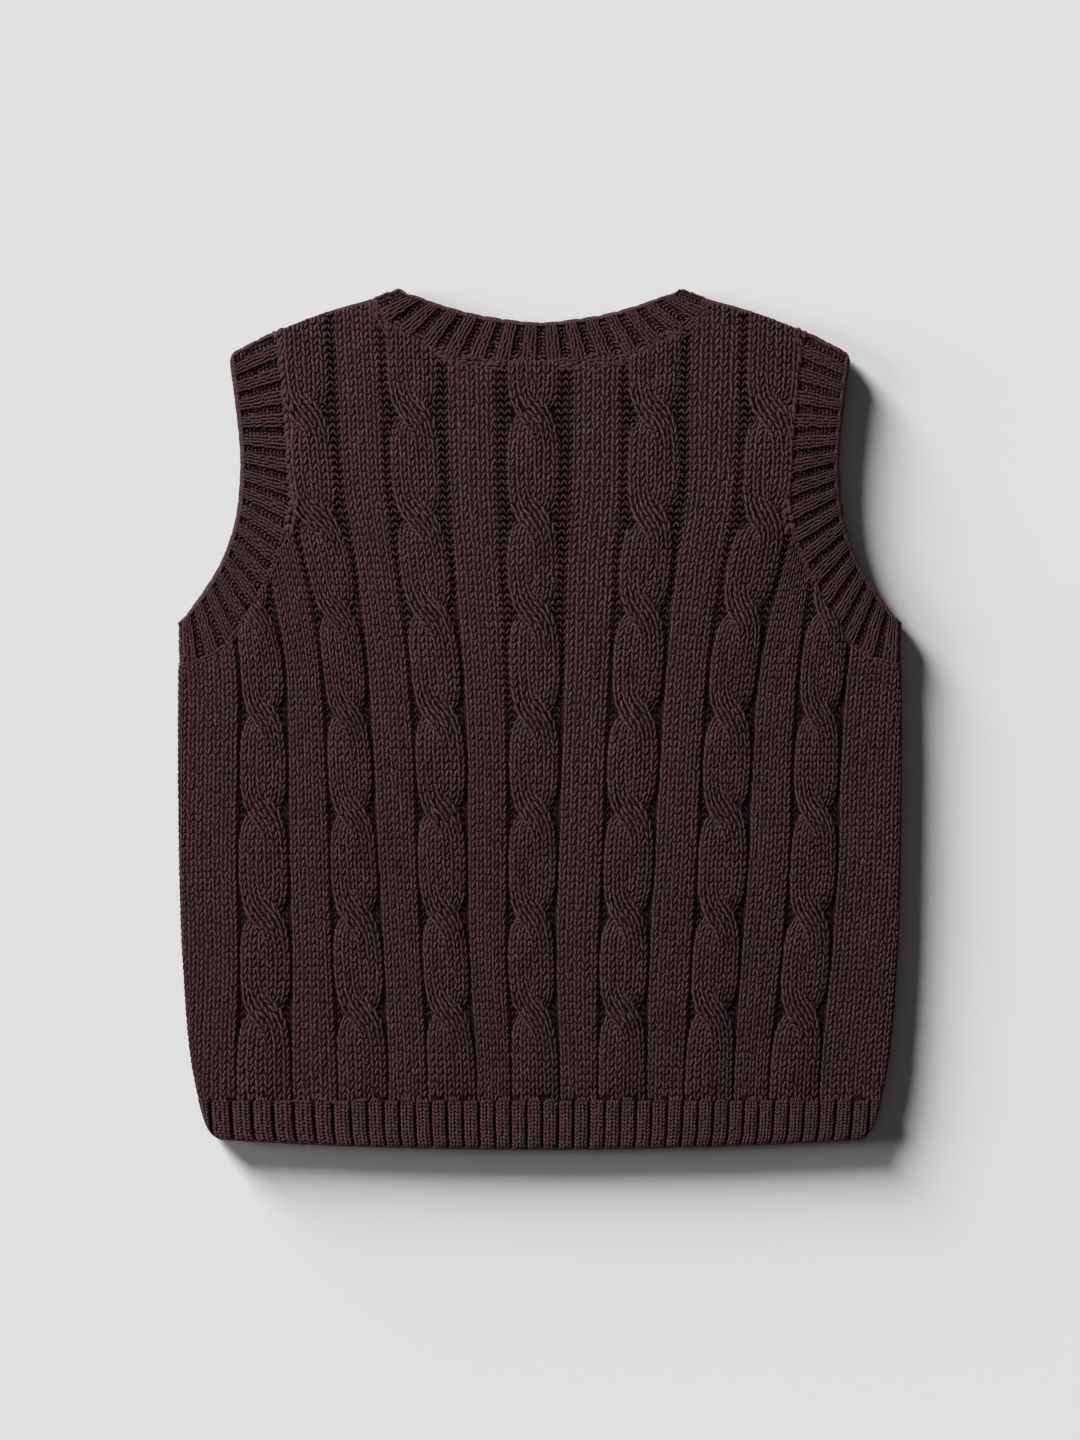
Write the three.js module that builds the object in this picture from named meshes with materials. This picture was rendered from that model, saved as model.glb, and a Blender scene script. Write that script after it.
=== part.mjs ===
// A child's cable-knit vest without sleeves, laid flat on its front with its back up.
// Millimetres. +Z is up from the surface, +Y points to the neck, and +X to the wearer's right side.
// The origin is on the surface, under the middle of the vest.
import * as THREE from 'three';

// Walls and layers
const SEAM_GAP = 0.3;
const FRONT_WALL = 3.0;
const BACK_FLOOR = FRONT_WALL + SEAM_GAP;
const FOLD_MIDDLE = FRONT_WALL + SEAM_GAP / 2;
const PLAIN_WALL = 3.0;
const GUTTER_WALL = 1.4;
const CABLE_SHOULDER = 3.9;
const CABLE_CROWN = 4.7;
const OVER_STRAND_RISE = 1.1;
const UNDER_STRAND_DIP = 1.7;
const EDGE_WALL = 0.7;
const SEWN_EDGE_WALL = 1.6;

// Ribbed hem and bands
const HEM_TOP = -148.2;
const HEM_FOOT = -167.7;
const HEM_FOOT_RISE = 3.6;
const HEM_MEASURED_Y = -156;
const HEM_CROWN = 3.3;
const HEM_TROUGH = 1.3;
const HEM_JOIN = 1.1;
const BAND_CROWN = 3.5;
const BAND_TROUGH = 2.1;
const NECK_BACK_RIBS = 15;
const ARMHOLE_RIBS = 16;
const BAND_SCALLOP = 0.5;
const BAND_START = 0.8;
const FRONT_BAND_STEPS = 20;
const FRONT_V_STEPS = 9;

// Cable crossings, as heights of their middles, and the half length of one crossing
const CROSSINGS = [119.7, 79.2, 42.1, 2.3, -35.9, -76.1, -113.9];
const CROSSING_REACH = 8.5;
const CROSSING_DRAW = 0.2;
const STRAND_SHARE = 0.42;
const CABLES = 'abcdefg';

const YARN = new THREE.Color(0x352426);

// Half the width of the body at each height, down to the round lower corners
const HALF_WIDTHS = [
  { y: 60, half: 141.0 },
  { y: 21.6, half: 141.3 },
  { y: -20, half: 141.45 },
  { y: -62, half: 140.9 },
  { y: -90, half: 139.9 },
  { y: -124.8, half: 137.4 },
  { y: -140.4, half: 135.1 },
  { y: -150, half: 132.9 },
  { y: -157, half: 130.8 },
  { y: -161, half: 128.6 },
  { y: -163.4, half: 125.6 },
  { y: -164.4, half: 122.0 },
];

// The armhole seam, half the garment, from the shoulder down to the side
const ARMHOLE_SEAM = [
  { y: 151.5, x: 103.4 },
  { y: 129.3, x: 100.8 },
  { y: 107.8, x: 99.2 },
  { y: 86.0, x: 98.1 },
  { y: 72.0, x: 100.3 },
  { y: 59.5, x: 105.0 },
  { y: 47.0, x: 110.9 },
  { y: 38.0, x: 116.8 },
  { y: 30.5, x: 121.8 },
  { y: 25.6, x: 128.2 },
  { y: 22.6, x: 136.0 },
  { y: 21.6, x: 141.3 },
];

// The free edge of the armhole band, from the shoulder down to the side
const ARMHOLE_EDGE = [
  { y: 142.2, x: 121.2 },
  { y: 128.1, x: 119.2 },
  { y: 109.4, x: 117.1 },
  { y: 97.0, x: 116.7 },
  { y: 81.3, x: 118.0 },
  { y: 70.0, x: 120.9 },
  { y: 60.0, x: 125.0 },
  { y: 50.0, x: 131.2 },
  { y: 41.5, x: 137.4 },
  { y: 37.0, x: 140.3 },
];

// The shoulder line, from the neckband to the armhole band
const SHOULDER_LINE = [
  { x: 66.0, y: 164.3 },
  { x: 80.0, y: 160.4 },
  { x: 91.7, y: 156.3 },
  { x: 103.4, y: 151.5 },
];

// The back neck seam, half of it, and the free edge of the neckband above it
const NECK_SEAM = [
  { x: 0, y: 140.3 },
  { x: 16.0, y: 140.6 },
  { x: 29.3, y: 141.8 },
  { x: 40.5, y: 144.9 },
  { x: 51.1, y: 150.4 },
  { x: 60.2, y: 156.8 },
  { x: 66.0, y: 164.3 },
];
const NECK_EDGE = [
  { x: 0, y: 154.9 },
  { x: 15.6, y: 156.5 },
  { x: 27.3, y: 158.6 },
  { x: 39.0, y: 161.9 },
  { x: 47.0, y: 164.9 },
  { x: 51.8, y: 166.2 },
  { x: 54.8, y: 166.95 },
];

// The lowest points of the V, at its free edge and at its seam
const V_EDGE_Y = 66;
const V_SEAM_Y = 36;
const V_HOLLOW = 2.5;

// Heights down the back, with the middles of the seven cables there, a to g from left to right
const CABLE_MIDDLES = [
  { y: 168.0, a: -126.0, b: -94.5, c: -51.0, d: -3.0, e: 45.5, f: 92.0, g: 126.0 },
  { y: 128.7, a: -124.0, b: -92.0, c: -49.5, d: -2.7, e: 44.5, f: 90.7, g: 124.0 },
  { y: 89.7, a: -121.0, b: -89.3, c: -48.0, d: -2.7, e: 44.1, f: 89.1, g: 121.0 },
  { y: 60.5, a: -116.0, b: -82.3, c: -45.0, d: -2.9, e: 41.1, f: 83.1, g: 116.0 },
  { y: 23.4, a: -108.8, b: -76.8, c: -41.1, d: -2.1, e: 38.4, f: 75.9, g: 110.6 },
  { y: -15.6, a: -108.0, b: -74.3, c: -38.8, d: -2.3, e: 36.1, f: 72.9, g: 107.8 },
  { y: -54.6, a: -108.0, b: -72.7, c: -38.2, d: -2.9, e: 34.5, f: 71.2, g: 106.7 },
  { y: -93.6, a: -107.1, b: -71.0, c: -36.9, d: -3.5, e: 32.6, f: 68.6, g: 103.7 },
  { y: -132.6, a: -107.8, b: -69.4, c: -34.7, d: -2.0, e: 32.0, f: 66.1, g: 99.6 },
  { y: -150.0, a: -107.6, b: -69.0, c: -34.2, d: -1.8, e: 31.9, f: 65.6, g: 98.6 },
];

// At the same heights, from each cable's middle to the middle of the gutter beside it
const CABLE_HALVES = [
  { y: 168.0, a: 9.0, b: 11.2, c: 11.2, d: 12.4, e: 11.5, f: 11.5, g: 9.0 },
  { y: 128.7, a: 9.0, b: 11.1, c: 11.1, d: 12.4, e: 11.4, f: 11.5, g: 9.0 },
  { y: 89.7, a: 9.0, b: 10.9, c: 10.8, d: 12.1, e: 11.3, f: 11.5, g: 9.0 },
  { y: 60.5, a: 8.8, b: 9.4, c: 10.4, d: 11.3, e: 10.8, f: 10.8, g: 8.9 },
  { y: 23.4, a: 8.6, b: 8.5, c: 9.95, d: 10.6, e: 10.2, f: 9.5, g: 8.9 },
  { y: -15.6, a: 9.2, b: 8.7, c: 9.8, d: 9.9, e: 10.0, f: 9.35, g: 8.8 },
  { y: -54.6, a: 9.7, b: 9.0, c: 9.4, d: 9.4, e: 9.6, f: 9.5, g: 8.95 },
  { y: -93.6, a: 9.9, b: 9.6, c: 8.9, d: 9.1, e: 9.4, f: 9.2, g: 9.2 },
  { y: -132.6, a: 10.4, b: 9.5, c: 9.2, d: 9.0, e: 9.1, f: 9.2, g: 9.5 },
  { y: -150.0, a: 10.5, b: 9.4, c: 9.2, d: 9.0, e: 9.1, f: 9.2, g: 9.5 },
];

// The whole width of a gutter, which is more beside the middle cable
const GUTTERS = [
  { y: 168.0, outer: 3.9, middle: 5.8 },
  { y: 128.7, outer: 3.7, middle: 5.6 },
  { y: 89.7, outer: 3.5, middle: 5.0 },
  { y: 60.5, outer: 2.7, middle: 3.8 },
  { y: 23.4, outer: 1.9, middle: 2.5 },
  { y: -15.6, outer: 1.5, middle: 1.7 },
  { y: -54.6, outer: 1.3, middle: 1.4 },
  { y: -150.0, outer: 1.2, middle: 1.3 },
];

// The valleys between the hem's ribs, by number, and where they lie at the measured height
const HEM_VALLEYS = [
  { number: 0, x: -128.3 },
  { number: 6, x: -80.7 },
  { number: 12, x: -42.5 },
  { number: 20, x: 7.0 },
  { number: 30, x: 67.5 },
  { number: 37, x: 108.8 },
  { number: 40, x: 128.3 },
];
const GUTTER_EDGE = 0.6;

// How far in from an edge its rounding goes, and the heights of its steps as shares of the wall
const EDGE_STEPS = [0, 0.7, 2.4];
const EDGE_RISE = [0, 0.55, 1];
const TOP_STEP = 2.2;

// Spacing of the grid's columns and rows where no cable sets it
const SIDE_COLUMN_STEP = 9;
const FRONT_COLUMN_STEP = 11;
const FRONT_COLUMNS = 9;
const FRONT_ROW_STEP = 18;
const CABLE_ROWS = [-12.5, -7, -2.5, 2.5, 7, 12.5];

// A smooth value from a table: rows in falling or rising order of one column, read in another
function smooth(rows, along, read, at) {
  const last = rows.length - 1;
  const rising = rows[last][along] > rows[0][along];
  const clamped = THREE.MathUtils.clamp(
    at,
    Math.min(rows[0][along], rows[last][along]),
    Math.max(rows[0][along], rows[last][along]),
  );
  let i = 0;
  while (i < last - 1 && (rising ? clamped > rows[i + 1][along] : clamped < rows[i + 1][along])) {
    i += 1;
  }
  const slope = (k) => {
    const before = rows[Math.max(k - 1, 0)];
    const after = rows[Math.min(k + 1, last)];
    return (after[read] - before[read]) / (after[along] - before[along]);
  };
  const span = rows[i + 1][along] - rows[i][along];
  const t = (clamped - rows[i][along]) / span;
  const start = rows[i][read];
  const end = rows[i + 1][read];
  const bend0 = slope(i) * span;
  const bend1 = slope(i + 1) * span;
  return (
    start * (2 * t ** 3 - 3 * t ** 2 + 1) +
    bend0 * (t ** 3 - 2 * t ** 2 + t) +
    end * (3 * t ** 2 - 2 * t ** 3) +
    bend1 * (t ** 3 - t ** 2)
  );
}

// The panels' outline
const SIDE_TOP = ARMHOLE_SEAM[ARMHOLE_SEAM.length - 1].y;
const SHOULDER_END = SHOULDER_LINE[SHOULDER_LINE.length - 1];
const NECK_CORNER = SHOULDER_LINE[0];
const CORNER_HALF = HALF_WIDTHS[HALF_WIDTHS.length - 1].half;

function sideLimit(y) {
  if (y <= SIDE_TOP) {
    return smooth(HALF_WIDTHS, 'y', 'half', y);
  }
  return smooth(ARMHOLE_SEAM, 'y', 'x', y);
}

function backTop(x) {
  const across = Math.abs(x);
  if (across < NECK_CORNER.x) {
    return smooth(NECK_SEAM, 'x', 'y', across);
  }
  return smooth(SHOULDER_LINE, 'x', 'y', across);
}

function frontTop(x) {
  const across = Math.abs(x);
  if (across < NECK_CORNER.x) {
    const share = across / NECK_CORNER.x;
    const straight = THREE.MathUtils.lerp(V_SEAM_Y, NECK_CORNER.y, share);
    return straight - V_HOLLOW * Math.sin(Math.PI * share);
  }
  return smooth(SHOULDER_LINE, 'x', 'y', across);
}

function hemBottom(x) {
  return HEM_FOOT + HEM_FOOT_RISE * (Math.abs(x) / CORNER_HALF) ** 2;
}

// Lines down the back
function crossingOffset(y) {
  const nearest = CROSSINGS.reduce((a, b) => (Math.abs(y - b) < Math.abs(y - a) ? b : a));
  return y - nearest;
}

function nearCrossing(y) {
  return Math.exp(-((crossingOffset(y) / CROSSING_REACH) ** 2));
}

function cableMiddle(cable, y) {
  return smooth(CABLE_MIDDLES, 'y', CABLES[cable], y);
}

// The gutter beside a cable: side is -1 on its left and 1 on its right
function gutterMiddle(cable, side, y) {
  return cableMiddle(cable, y) + side * smooth(CABLE_HALVES, 'y', CABLES[cable], y);
}

function gutterHalf(cable, y) {
  const kind = CABLES[cable] === 'd' ? 'middle' : 'outer';
  return smooth(GUTTERS, 'y', kind, y) / 2 + GUTTER_EDGE;
}

// Half the width of a cable's knit stitches, which the crossings draw in
function knitHalf(cable, y) {
  const wide = smooth(CABLE_HALVES, 'y', CABLES[cable], y) - gutterHalf(cable, y);
  return wide * (1 - CROSSING_DRAW * nearCrossing(y));
}

// The rope form of a cable: side runs from -1 at its left edge to 1 at its right one
function cableWall(side, y) {
  const up = crossingOffset(y);
  const turn = THREE.MathUtils.clamp(up / CROSSING_REACH, -1, 1);
  const ridge = -0.5 * Math.sin((turn * Math.PI) / 2);
  const over = Math.exp(-(((side - ridge) / STRAND_SHARE) ** 2)) * nearCrossing(y);
  const tuck = (x, h) => Math.exp(-(((side - x) / 0.34) ** 2) - ((up - h) / 4) ** 2);
  const crown = THREE.MathUtils.lerp(CABLE_CROWN, CABLE_SHOULDER, side ** 2);
  return crown + OVER_STRAND_RISE * over - UNDER_STRAND_DIP * (tuck(0.8, 3) + tuck(-0.8, -3));
}

// A column is a line down a panel with the wall's thickness along it
function backColumns() {
  const plain = () => PLAIN_WALL;
  const low = () => GUTTER_WALL;
  const columns = [];
  for (let cable = 0; cable < CABLES.length; cable += 1) {
    const gutter = (side) => (y) => gutterMiddle(cable, side, y);
    const beyond = (side, more) => (y) => {
      return gutterMiddle(cable, side, y) + side * (gutterHalf(cable, y) + more);
    };
    if (cable === 0) {
      columns.push({ x: beyond(-1, SIDE_COLUMN_STEP), wall: plain });
    }
    columns.push({ x: beyond(-1, 0), wall: plain }, { x: gutter(-1), wall: low });
    for (const side of [-1, -0.5, 0, 0.5, 1]) {
      const x = (y) => cableMiddle(cable, y) + side * knitHalf(cable, y);
      columns.push({ x, wall: (y) => cableWall(side, y) });
    }
    columns.push({ x: gutter(1), wall: low }, { x: beyond(1, 0), wall: plain });
    if (cable === CABLES.length - 1) {
      columns.push({ x: beyond(1, SIDE_COLUMN_STEP), wall: plain });
    }
  }
  return columns;
}

function frontColumns() {
  const columns = [];
  for (let i = -FRONT_COLUMNS; i <= FRONT_COLUMNS; i += 1) {
    columns.push({ x: () => i * FRONT_COLUMN_STEP, wall: () => FRONT_WALL });
  }
  return columns;
}

function backRows() {
  const rows = [HEM_TOP + HEM_JOIN, -141.5, -134];
  for (const crossing of [...CROSSINGS].reverse()) {
    for (const offset of CABLE_ROWS) {
      rows.push(crossing + offset);
    }
  }
  rows.push(21.6, 22.6, 24.2, 26.4);
  for (const y of [139, 145, 151.5, 157, 162, 167]) {
    rows.push(y);
  }
  return tidyRows(rows);
}

function frontRows() {
  const rows = [HEM_TOP + HEM_JOIN];
  for (let y = -130; y < SIDE_TOP - 6; y += FRONT_ROW_STEP) {
    rows.push(y);
  }
  for (const seam of ARMHOLE_SEAM) {
    rows.push(seam.y);
  }
  for (const y of [34, 53, 66, 97, 118, 140, 158]) {
    rows.push(y);
  }
  return tidyRows(rows);
}

// Rising heights, without those that nearly repeat
function tidyRows(rows) {
  const rising = [...rows].sort((a, b) => a - b);
  return rising.filter((y, i) => i === 0 || y - rising[i - 1] > 0.9);
}

// A closed solid from its triangles; points that coincide are joined and empty triangles dropped
class Skin {
  constructor() {
    this.points = [];
    this.places = new Map();
    this.triangles = [];
  }

  point(x, y, z) {
    const key = [x, y, z].map((v) => Math.round(v * 500)).join();
    if (!this.places.has(key)) {
      this.places.set(key, this.points.length);
      this.points.push(new THREE.Vector3(x, y, z));
    }
    return this.places.get(key);
  }

  triangle(a, b, c) {
    if (a !== b && b !== c && c !== a) {
      this.triangles.push([a, b, c]);
    }
  }

  quad(a, b, c, d) {
    const along = this.points[a].distanceToSquared(this.points[c]);
    const across = this.points[b].distanceToSquared(this.points[d]);
    if (along <= across) {
      this.triangle(a, b, c);
      this.triangle(a, c, d);
    } else {
      this.triangle(a, b, d);
      this.triangle(b, c, d);
    }
  }

  // Joins two lines of points that run the same way, lower first, facing up
  zip(lower, upper) {
    let i = 0;
    let j = 0;
    while (i < lower.length - 1 || j < upper.length - 1) {
      const nextLower = i < lower.length - 1 ? this.points[lower[i + 1]].x : Infinity;
      const nextUpper = j < upper.length - 1 ? this.points[upper[j + 1]].x : Infinity;
      if (nextLower <= nextUpper) {
        this.triangle(lower[i], lower[i + 1], upper[j]);
        i += 1;
      } else {
        this.triangle(lower[i], upper[j + 1], upper[j]);
        j += 1;
      }
    }
  }

  mesh(name, facesDown = false) {
    const positions = [];
    for (const [a, b, c] of this.triangles) {
      for (const i of facesDown ? [a, c, b] : [a, b, c]) {
        positions.push(...this.points[i].toArray());
      }
    }
    const geometry = new THREE.BufferGeometry();
    geometry.setAttribute('position', new THREE.Float32BufferAttribute(positions, 3));
    geometry.computeVertexNormals();
    const material = new THREE.MeshStandardMaterial({ color: YARN, roughness: 0.95, metalness: 0 });
    const mesh = new THREE.Mesh(geometry, material);
    mesh.name = name;
    return mesh;
  }
}

// A knitted panel: a relief over a flat inner face, with rounded edges and a ribbed hem
function panel(name, shape) {
  const skin = new Skin();
  const { columns, rows, top, height, hemWall } = shape;
  const steps = EDGE_STEPS.length - 1;
  const lines = [];
  for (const y of [...rows, 'below', 'edge']) {
    const line = [];
    const count = columns.length + 2 * steps + 2;
    for (let i = 0; i < count; i += 1) {
      line.push(vertex(i, y));
    }
    lines.push(line);
  }

  // A grid vertex, moved in to the outline where the plain grid would pass it
  function vertex(i, row) {
    const last = columns.length + 2 * steps + 1;
    const fromEdge = Math.min(i, last - i);
    const sign = i < last / 2 ? -1 : 1;
    const column = columns[THREE.MathUtils.clamp(i - steps - 1, 0, columns.length - 1)];
    let x = sign * SHOULDER_END.x;
    let y = typeof row === 'number' ? row : SHOULDER_END.y;
    let onSide = true;
    for (let pass = 0; pass < 6; pass += 1) {
      const limit = sideLimit(y);
      if (fromEdge <= steps) {
        x = sign * (limit - EDGE_STEPS[fromEdge]);
      } else {
        const most = limit - EDGE_STEPS[steps];
        const wanted = column.x(y);
        onSide = Math.abs(wanted) > most - 0.6;
        x = onSide ? Math.sign(wanted) * most : wanted;
      }
      const highest = top(x);
      if (row === 'edge') {
        y = highest;
      } else if (row === 'below') {
        y = highest - TOP_STEP;
      } else {
        y = highest - TOP_STEP < row + 0.6 ? highest - TOP_STEP : row;
      }
    }
    const rise = fromEdge <= steps ? EDGE_RISE[fromEdge] : 1;
    const wall = fromEdge <= steps || onSide ? PLAIN_WALL : column.wall(y);
    const sewn = y > SIDE_TOP ? SEWN_EDGE_WALL : EDGE_WALL;
    const thick = row === 'edge' ? sewn : THREE.MathUtils.lerp(sewn, wall, rise);
    return skin.point(x, y, height(thick));
  }

  for (let j = 0; j < lines.length - 1; j += 1) {
    for (let i = 0; i < lines[j].length - 1; i += 1) {
      skin.quad(lines[j][i], lines[j][i + 1], lines[j + 1][i + 1], lines[j + 1][i]);
    }
  }

  // The hem: ribs side by side, narrowing with the body towards the lower edge
  const hemLines = [];
  const hemStarts = hemColumns(shape.ribbed);
  for (const drop of [0, 0.3, 0.84, 0.95, 1]) {
    const line = [];
    const level = HEM_TOP - HEM_JOIN;
    for (const start of hemStarts) {
      const foot = hemBottom(start.at * CORNER_HALF) - (drop === 1 ? 0.45 * start.ridge : 0);
      const y = THREE.MathUtils.lerp(level, foot, drop);
      const limit = sideLimit(y);
      const x = start.at * limit + start.inset;
      const ridge = start.ridge * THREE.MathUtils.clamp(drop * 4, 0.25, 1);
      const ribWall = THREE.MathUtils.lerp(HEM_TROUGH, HEM_CROWN, ridge);
      const wall = drop === 0 ? THREE.MathUtils.lerp(ribWall, PLAIN_WALL, 0.6) : ribWall;
      const round = { 0.95: 0.72, 1: 0 }[drop] ?? 1;
      const thick = THREE.MathUtils.lerp(EDGE_WALL, hemWall(wall), Math.min(round, start.rise));
      line.push(skin.point(x, y, height(thick)));
    }
    hemLines.push(line);
  }
  skin.zip(hemLines[0], lines[0]);
  for (let j = 0; j < hemLines.length - 1; j += 1) {
    for (let i = 0; i < hemStarts.length - 1; i += 1) {
      skin.quad(hemLines[j + 1][i], hemLines[j + 1][i + 1], hemLines[j][i + 1], hemLines[j][i]);
    }
  }

  // The outline, anticlockwise from the lower left corner, and the wall down to the inner face
  const lowest = hemLines[hemLines.length - 1];
  const rightSide = [...hemLines].reverse().map((line) => line[line.length - 1]);
  const rim = [
    ...lowest,
    ...rightSide,
    ...lines.map((line) => line[line.length - 1]),
    ...[...lines[lines.length - 1]].reverse(),
    ...[...lines].reverse().map((line) => line[0]),
    ...hemLines.map((line) => line[0]),
  ];
  const loop = rim.filter((p, k) => p !== rim[(k + 1) % rim.length]);
  const inner = loop.map((p) => {
    const { x, y } = skin.points[p];
    return skin.point(x, y, height(0));
  });
  for (let k = 0; k < loop.length; k += 1) {
    const next = (k + 1) % loop.length;
    skin.quad(inner[k], inner[next], loop[next], loop[k]);
  }
  const flat = inner.map((p) => new THREE.Vector2(skin.points[p].x, skin.points[p].y));
  for (const [a, b, c] of THREE.ShapeUtils.triangulateShape(flat, [])) {
    skin.triangle(inner[a], inner[c], inner[b]);
  }
  return skin.mesh(name, shape.facesDown);
}

// Where the hem's columns start: at is a share of the half width, ridge is 1 on a rib's crown
function hemColumns(ribbed) {
  const marks = ribbed ? [0, 0.22, 0.5, 0.78] : [0, 0.5];
  const ridges = ribbed ? [0, 0.85, 1, 0.85] : [0, 1];
  const last = HEM_VALLEYS[HEM_VALLEYS.length - 1].number;
  const starts = [];
  const column = (number, ridge) => {
    const at = smooth(HEM_VALLEYS, 'number', 'x', number) / sideLimit(HEM_MEASURED_Y);
    starts.push({ at, inset: 0, ridge, rise: 1 });
  };
  const edge = (at, k) => {
    starts.push({ at, inset: -at * EDGE_STEPS[k], ridge: 0.8, rise: EDGE_RISE[k] });
  };
  edge(-1, 0);
  edge(-1, 1);
  for (let rib = 0; rib < last; rib += 1) {
    marks.forEach((mark, k) => column(rib + mark, ridges[k]));
  }
  column(last, 0);
  edge(1, 1);
  edge(1, 0);
  return starts;
}

// A smooth curve through a half table of x and y, on one side of the garment
function curve(rows, sign) {
  return new THREE.SplineCurve(rows.map((row) => new THREE.Vector2(sign * row.x, row.y)));
}

// A ribbed band as a ring: sections run from its seam to its free edge, across its length
const BAND_SHARES = [0, 0.14, 0.86, 1];
const BAND_ROUND = [0.55, 1, 1, 0.42];

function bandSection(skin, seam, edge, place, thick, scallop) {
  const along = new THREE.Vector2().subVectors(edge, seam);
  const length = along.length() + scallop;
  along.normalize();
  const at = (share, height) => {
    const reach = THREE.MathUtils.lerp(BAND_START, length, share);
    return place(seam.clone().addScaledVector(along, reach), height);
  };
  const points = BAND_SHARES.map((share, k) => at(share, thick * BAND_ROUND[k]));
  const inside = [1, 0].map((share) => at(share, 0));
  return [...points, ...inside].map((p) => skin.point(p.x, p.y, p.z));
}

const onBack = (p, thick) => new THREE.Vector3(p.x, p.y, BACK_FLOOR + thick);
const onFront = (p, thick) => new THREE.Vector3(p.x, p.y, FRONT_WALL - thick);

function roundFold(outward, angle) {
  return (p, thick) => {
    const radius = SEAM_GAP / 2 + thick;
    const out = outward.clone().multiplyScalar(radius * Math.cos(angle));
    return new THREE.Vector3(p.x + out.x, p.y + out.y, FOLD_MIDDLE + radius * Math.sin(angle));
  };
}

// The square of a line from seam to edge, pointing away from an inner point
function awayFrom(line, inner) {
  const square = new THREE.Vector2(-(line.edge.y - line.seam.y), line.edge.x - line.seam.x);
  square.normalize();
  const middle = line.seam.clone().add(line.edge).multiplyScalar(0.5);
  return middle.sub(inner).dot(square) > 0 ? square : square.negate();
}

function ribbedRun(skin, lineAt, ribs, sections) {
  const marks = [0, 0.2, 0.5, 0.8];
  const ridges = [0, 0.9, 1, 0.9];
  for (let rib = 0; rib < ribs; rib += 1) {
    marks.forEach((mark, k) => {
      const { seam, edge } = lineAt((rib + mark) / ribs);
      const thick = THREE.MathUtils.lerp(BAND_TROUGH, BAND_CROWN, ridges[k]);
      const scallop = BAND_SCALLOP * (ridges[k] - 1);
      sections.push(bandSection(skin, seam, edge, onBack, thick, scallop));
    });
  }
  const { seam, edge } = lineAt(1);
  sections.push(bandSection(skin, seam, edge, onBack, BAND_TROUGH, -BAND_SCALLOP));
}

function foldedOver(skin, line, inner, turns, sections) {
  const outward = awayFrom(line, inner);
  for (const share of turns) {
    const angle = (0.5 - share) * Math.PI;
    const thick = THREE.MathUtils.lerp(BAND_TROUGH + 0.5, FRONT_WALL, share);
    const place = roundFold(outward, angle);
    sections.push(bandSection(skin, line.seam, line.edge, place, thick, 0));
  }
}

function plainRun(skin, lineAt, count, sections) {
  for (let i = 0; i <= count; i += 1) {
    const { seam, edge } = lineAt(i / count);
    sections.push(bandSection(skin, seam, edge, onFront, FRONT_WALL, 0));
  }
}

function closedRing(skin, name, sections, turned) {
  const around = sections[0].length;
  sections.forEach((section, s) => {
    const next = sections[(s + 1) % sections.length];
    for (let k = 0; k < around; k += 1) {
      const after = (k + 1) % around;
      skin.quad(section[k], section[after], next[after], next[k]);
    }
  });
  return skin.mesh(name, turned);
}

const FOLD_TURNS = [0.2, 0.4, 0.6, 0.8];

function armholeBand(name, sign) {
  const skin = new Skin();
  const seamCurve = curve(ARMHOLE_SEAM, sign);
  const edgeCurve = curve(ARMHOLE_EDGE, sign);
  const from = FOLD_MIDDLE / seamCurve.getLength();
  const lineAt = (share) => {
    const at = THREE.MathUtils.lerp(from, 1 - from, share);
    return { seam: seamCurve.getPointAt(at), edge: edgeCurve.getPointAt(at) };
  };
  const sections = [];
  const inner = new THREE.Vector2(sign * 110, 90);
  ribbedRun(skin, lineAt, ARMHOLE_RIBS, sections);
  foldedOver(skin, lineAt(1), inner, FOLD_TURNS, sections);
  plainRun(skin, (share) => lineAt(1 - share), FRONT_BAND_STEPS, sections);
  foldedOver(skin, lineAt(0), inner, [...FOLD_TURNS].reverse(), sections);
  return closedRing(skin, name, sections, sign > 0);
}

function neckband(name) {
  const skin = new Skin();
  const whole = (rows) => {
    const right = rows.map((row) => new THREE.Vector2(row.x, row.y));
    const left = rows.slice(1).map((row) => new THREE.Vector2(-row.x, row.y));
    return new THREE.SplineCurve([...left.reverse(), ...right]);
  };
  const seamCurve = whole(NECK_SEAM);
  const edgeCurve = whole(NECK_EDGE);
  const seamFrom = FOLD_MIDDLE / seamCurve.getLength();
  const edgeFrom = FOLD_MIDDLE / edgeCurve.getLength();
  const backLine = (share) => ({
    seam: seamCurve.getPointAt(THREE.MathUtils.lerp(seamFrom, 1 - seamFrom, share)),
    edge: edgeCurve.getPointAt(THREE.MathUtils.lerp(edgeFrom, 1 - edgeFrom, share)),
  });
  const frontLine = (sign) => (share) => {
    const top = backLine(sign > 0 ? 1 : 0);
    const seamX = top.seam.x * (1 - share);
    const seam = new THREE.Vector2(seamX, frontTop(seamX));
    const edge = new THREE.Vector2(
      top.edge.x * (1 - share),
      THREE.MathUtils.lerp(top.edge.y, V_EDGE_Y, share) - V_HOLLOW * Math.sin(Math.PI * share),
    );
    return { seam: share === 0 ? top.seam : seam, edge };
  };
  const sections = [];
  const inner = new THREE.Vector2(0, 100);
  ribbedRun(skin, backLine, NECK_BACK_RIBS, sections);
  foldedOver(skin, backLine(1), inner, FOLD_TURNS, sections);
  plainRun(skin, frontLine(1), FRONT_V_STEPS, sections);
  sections.pop();
  plainRun(skin, (share) => frontLine(-1)(1 - share), FRONT_V_STEPS, sections);
  foldedOver(skin, backLine(0), inner, [...FOLD_TURNS].reverse(), sections);
  return closedRing(skin, name, sections, true);
}

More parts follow.
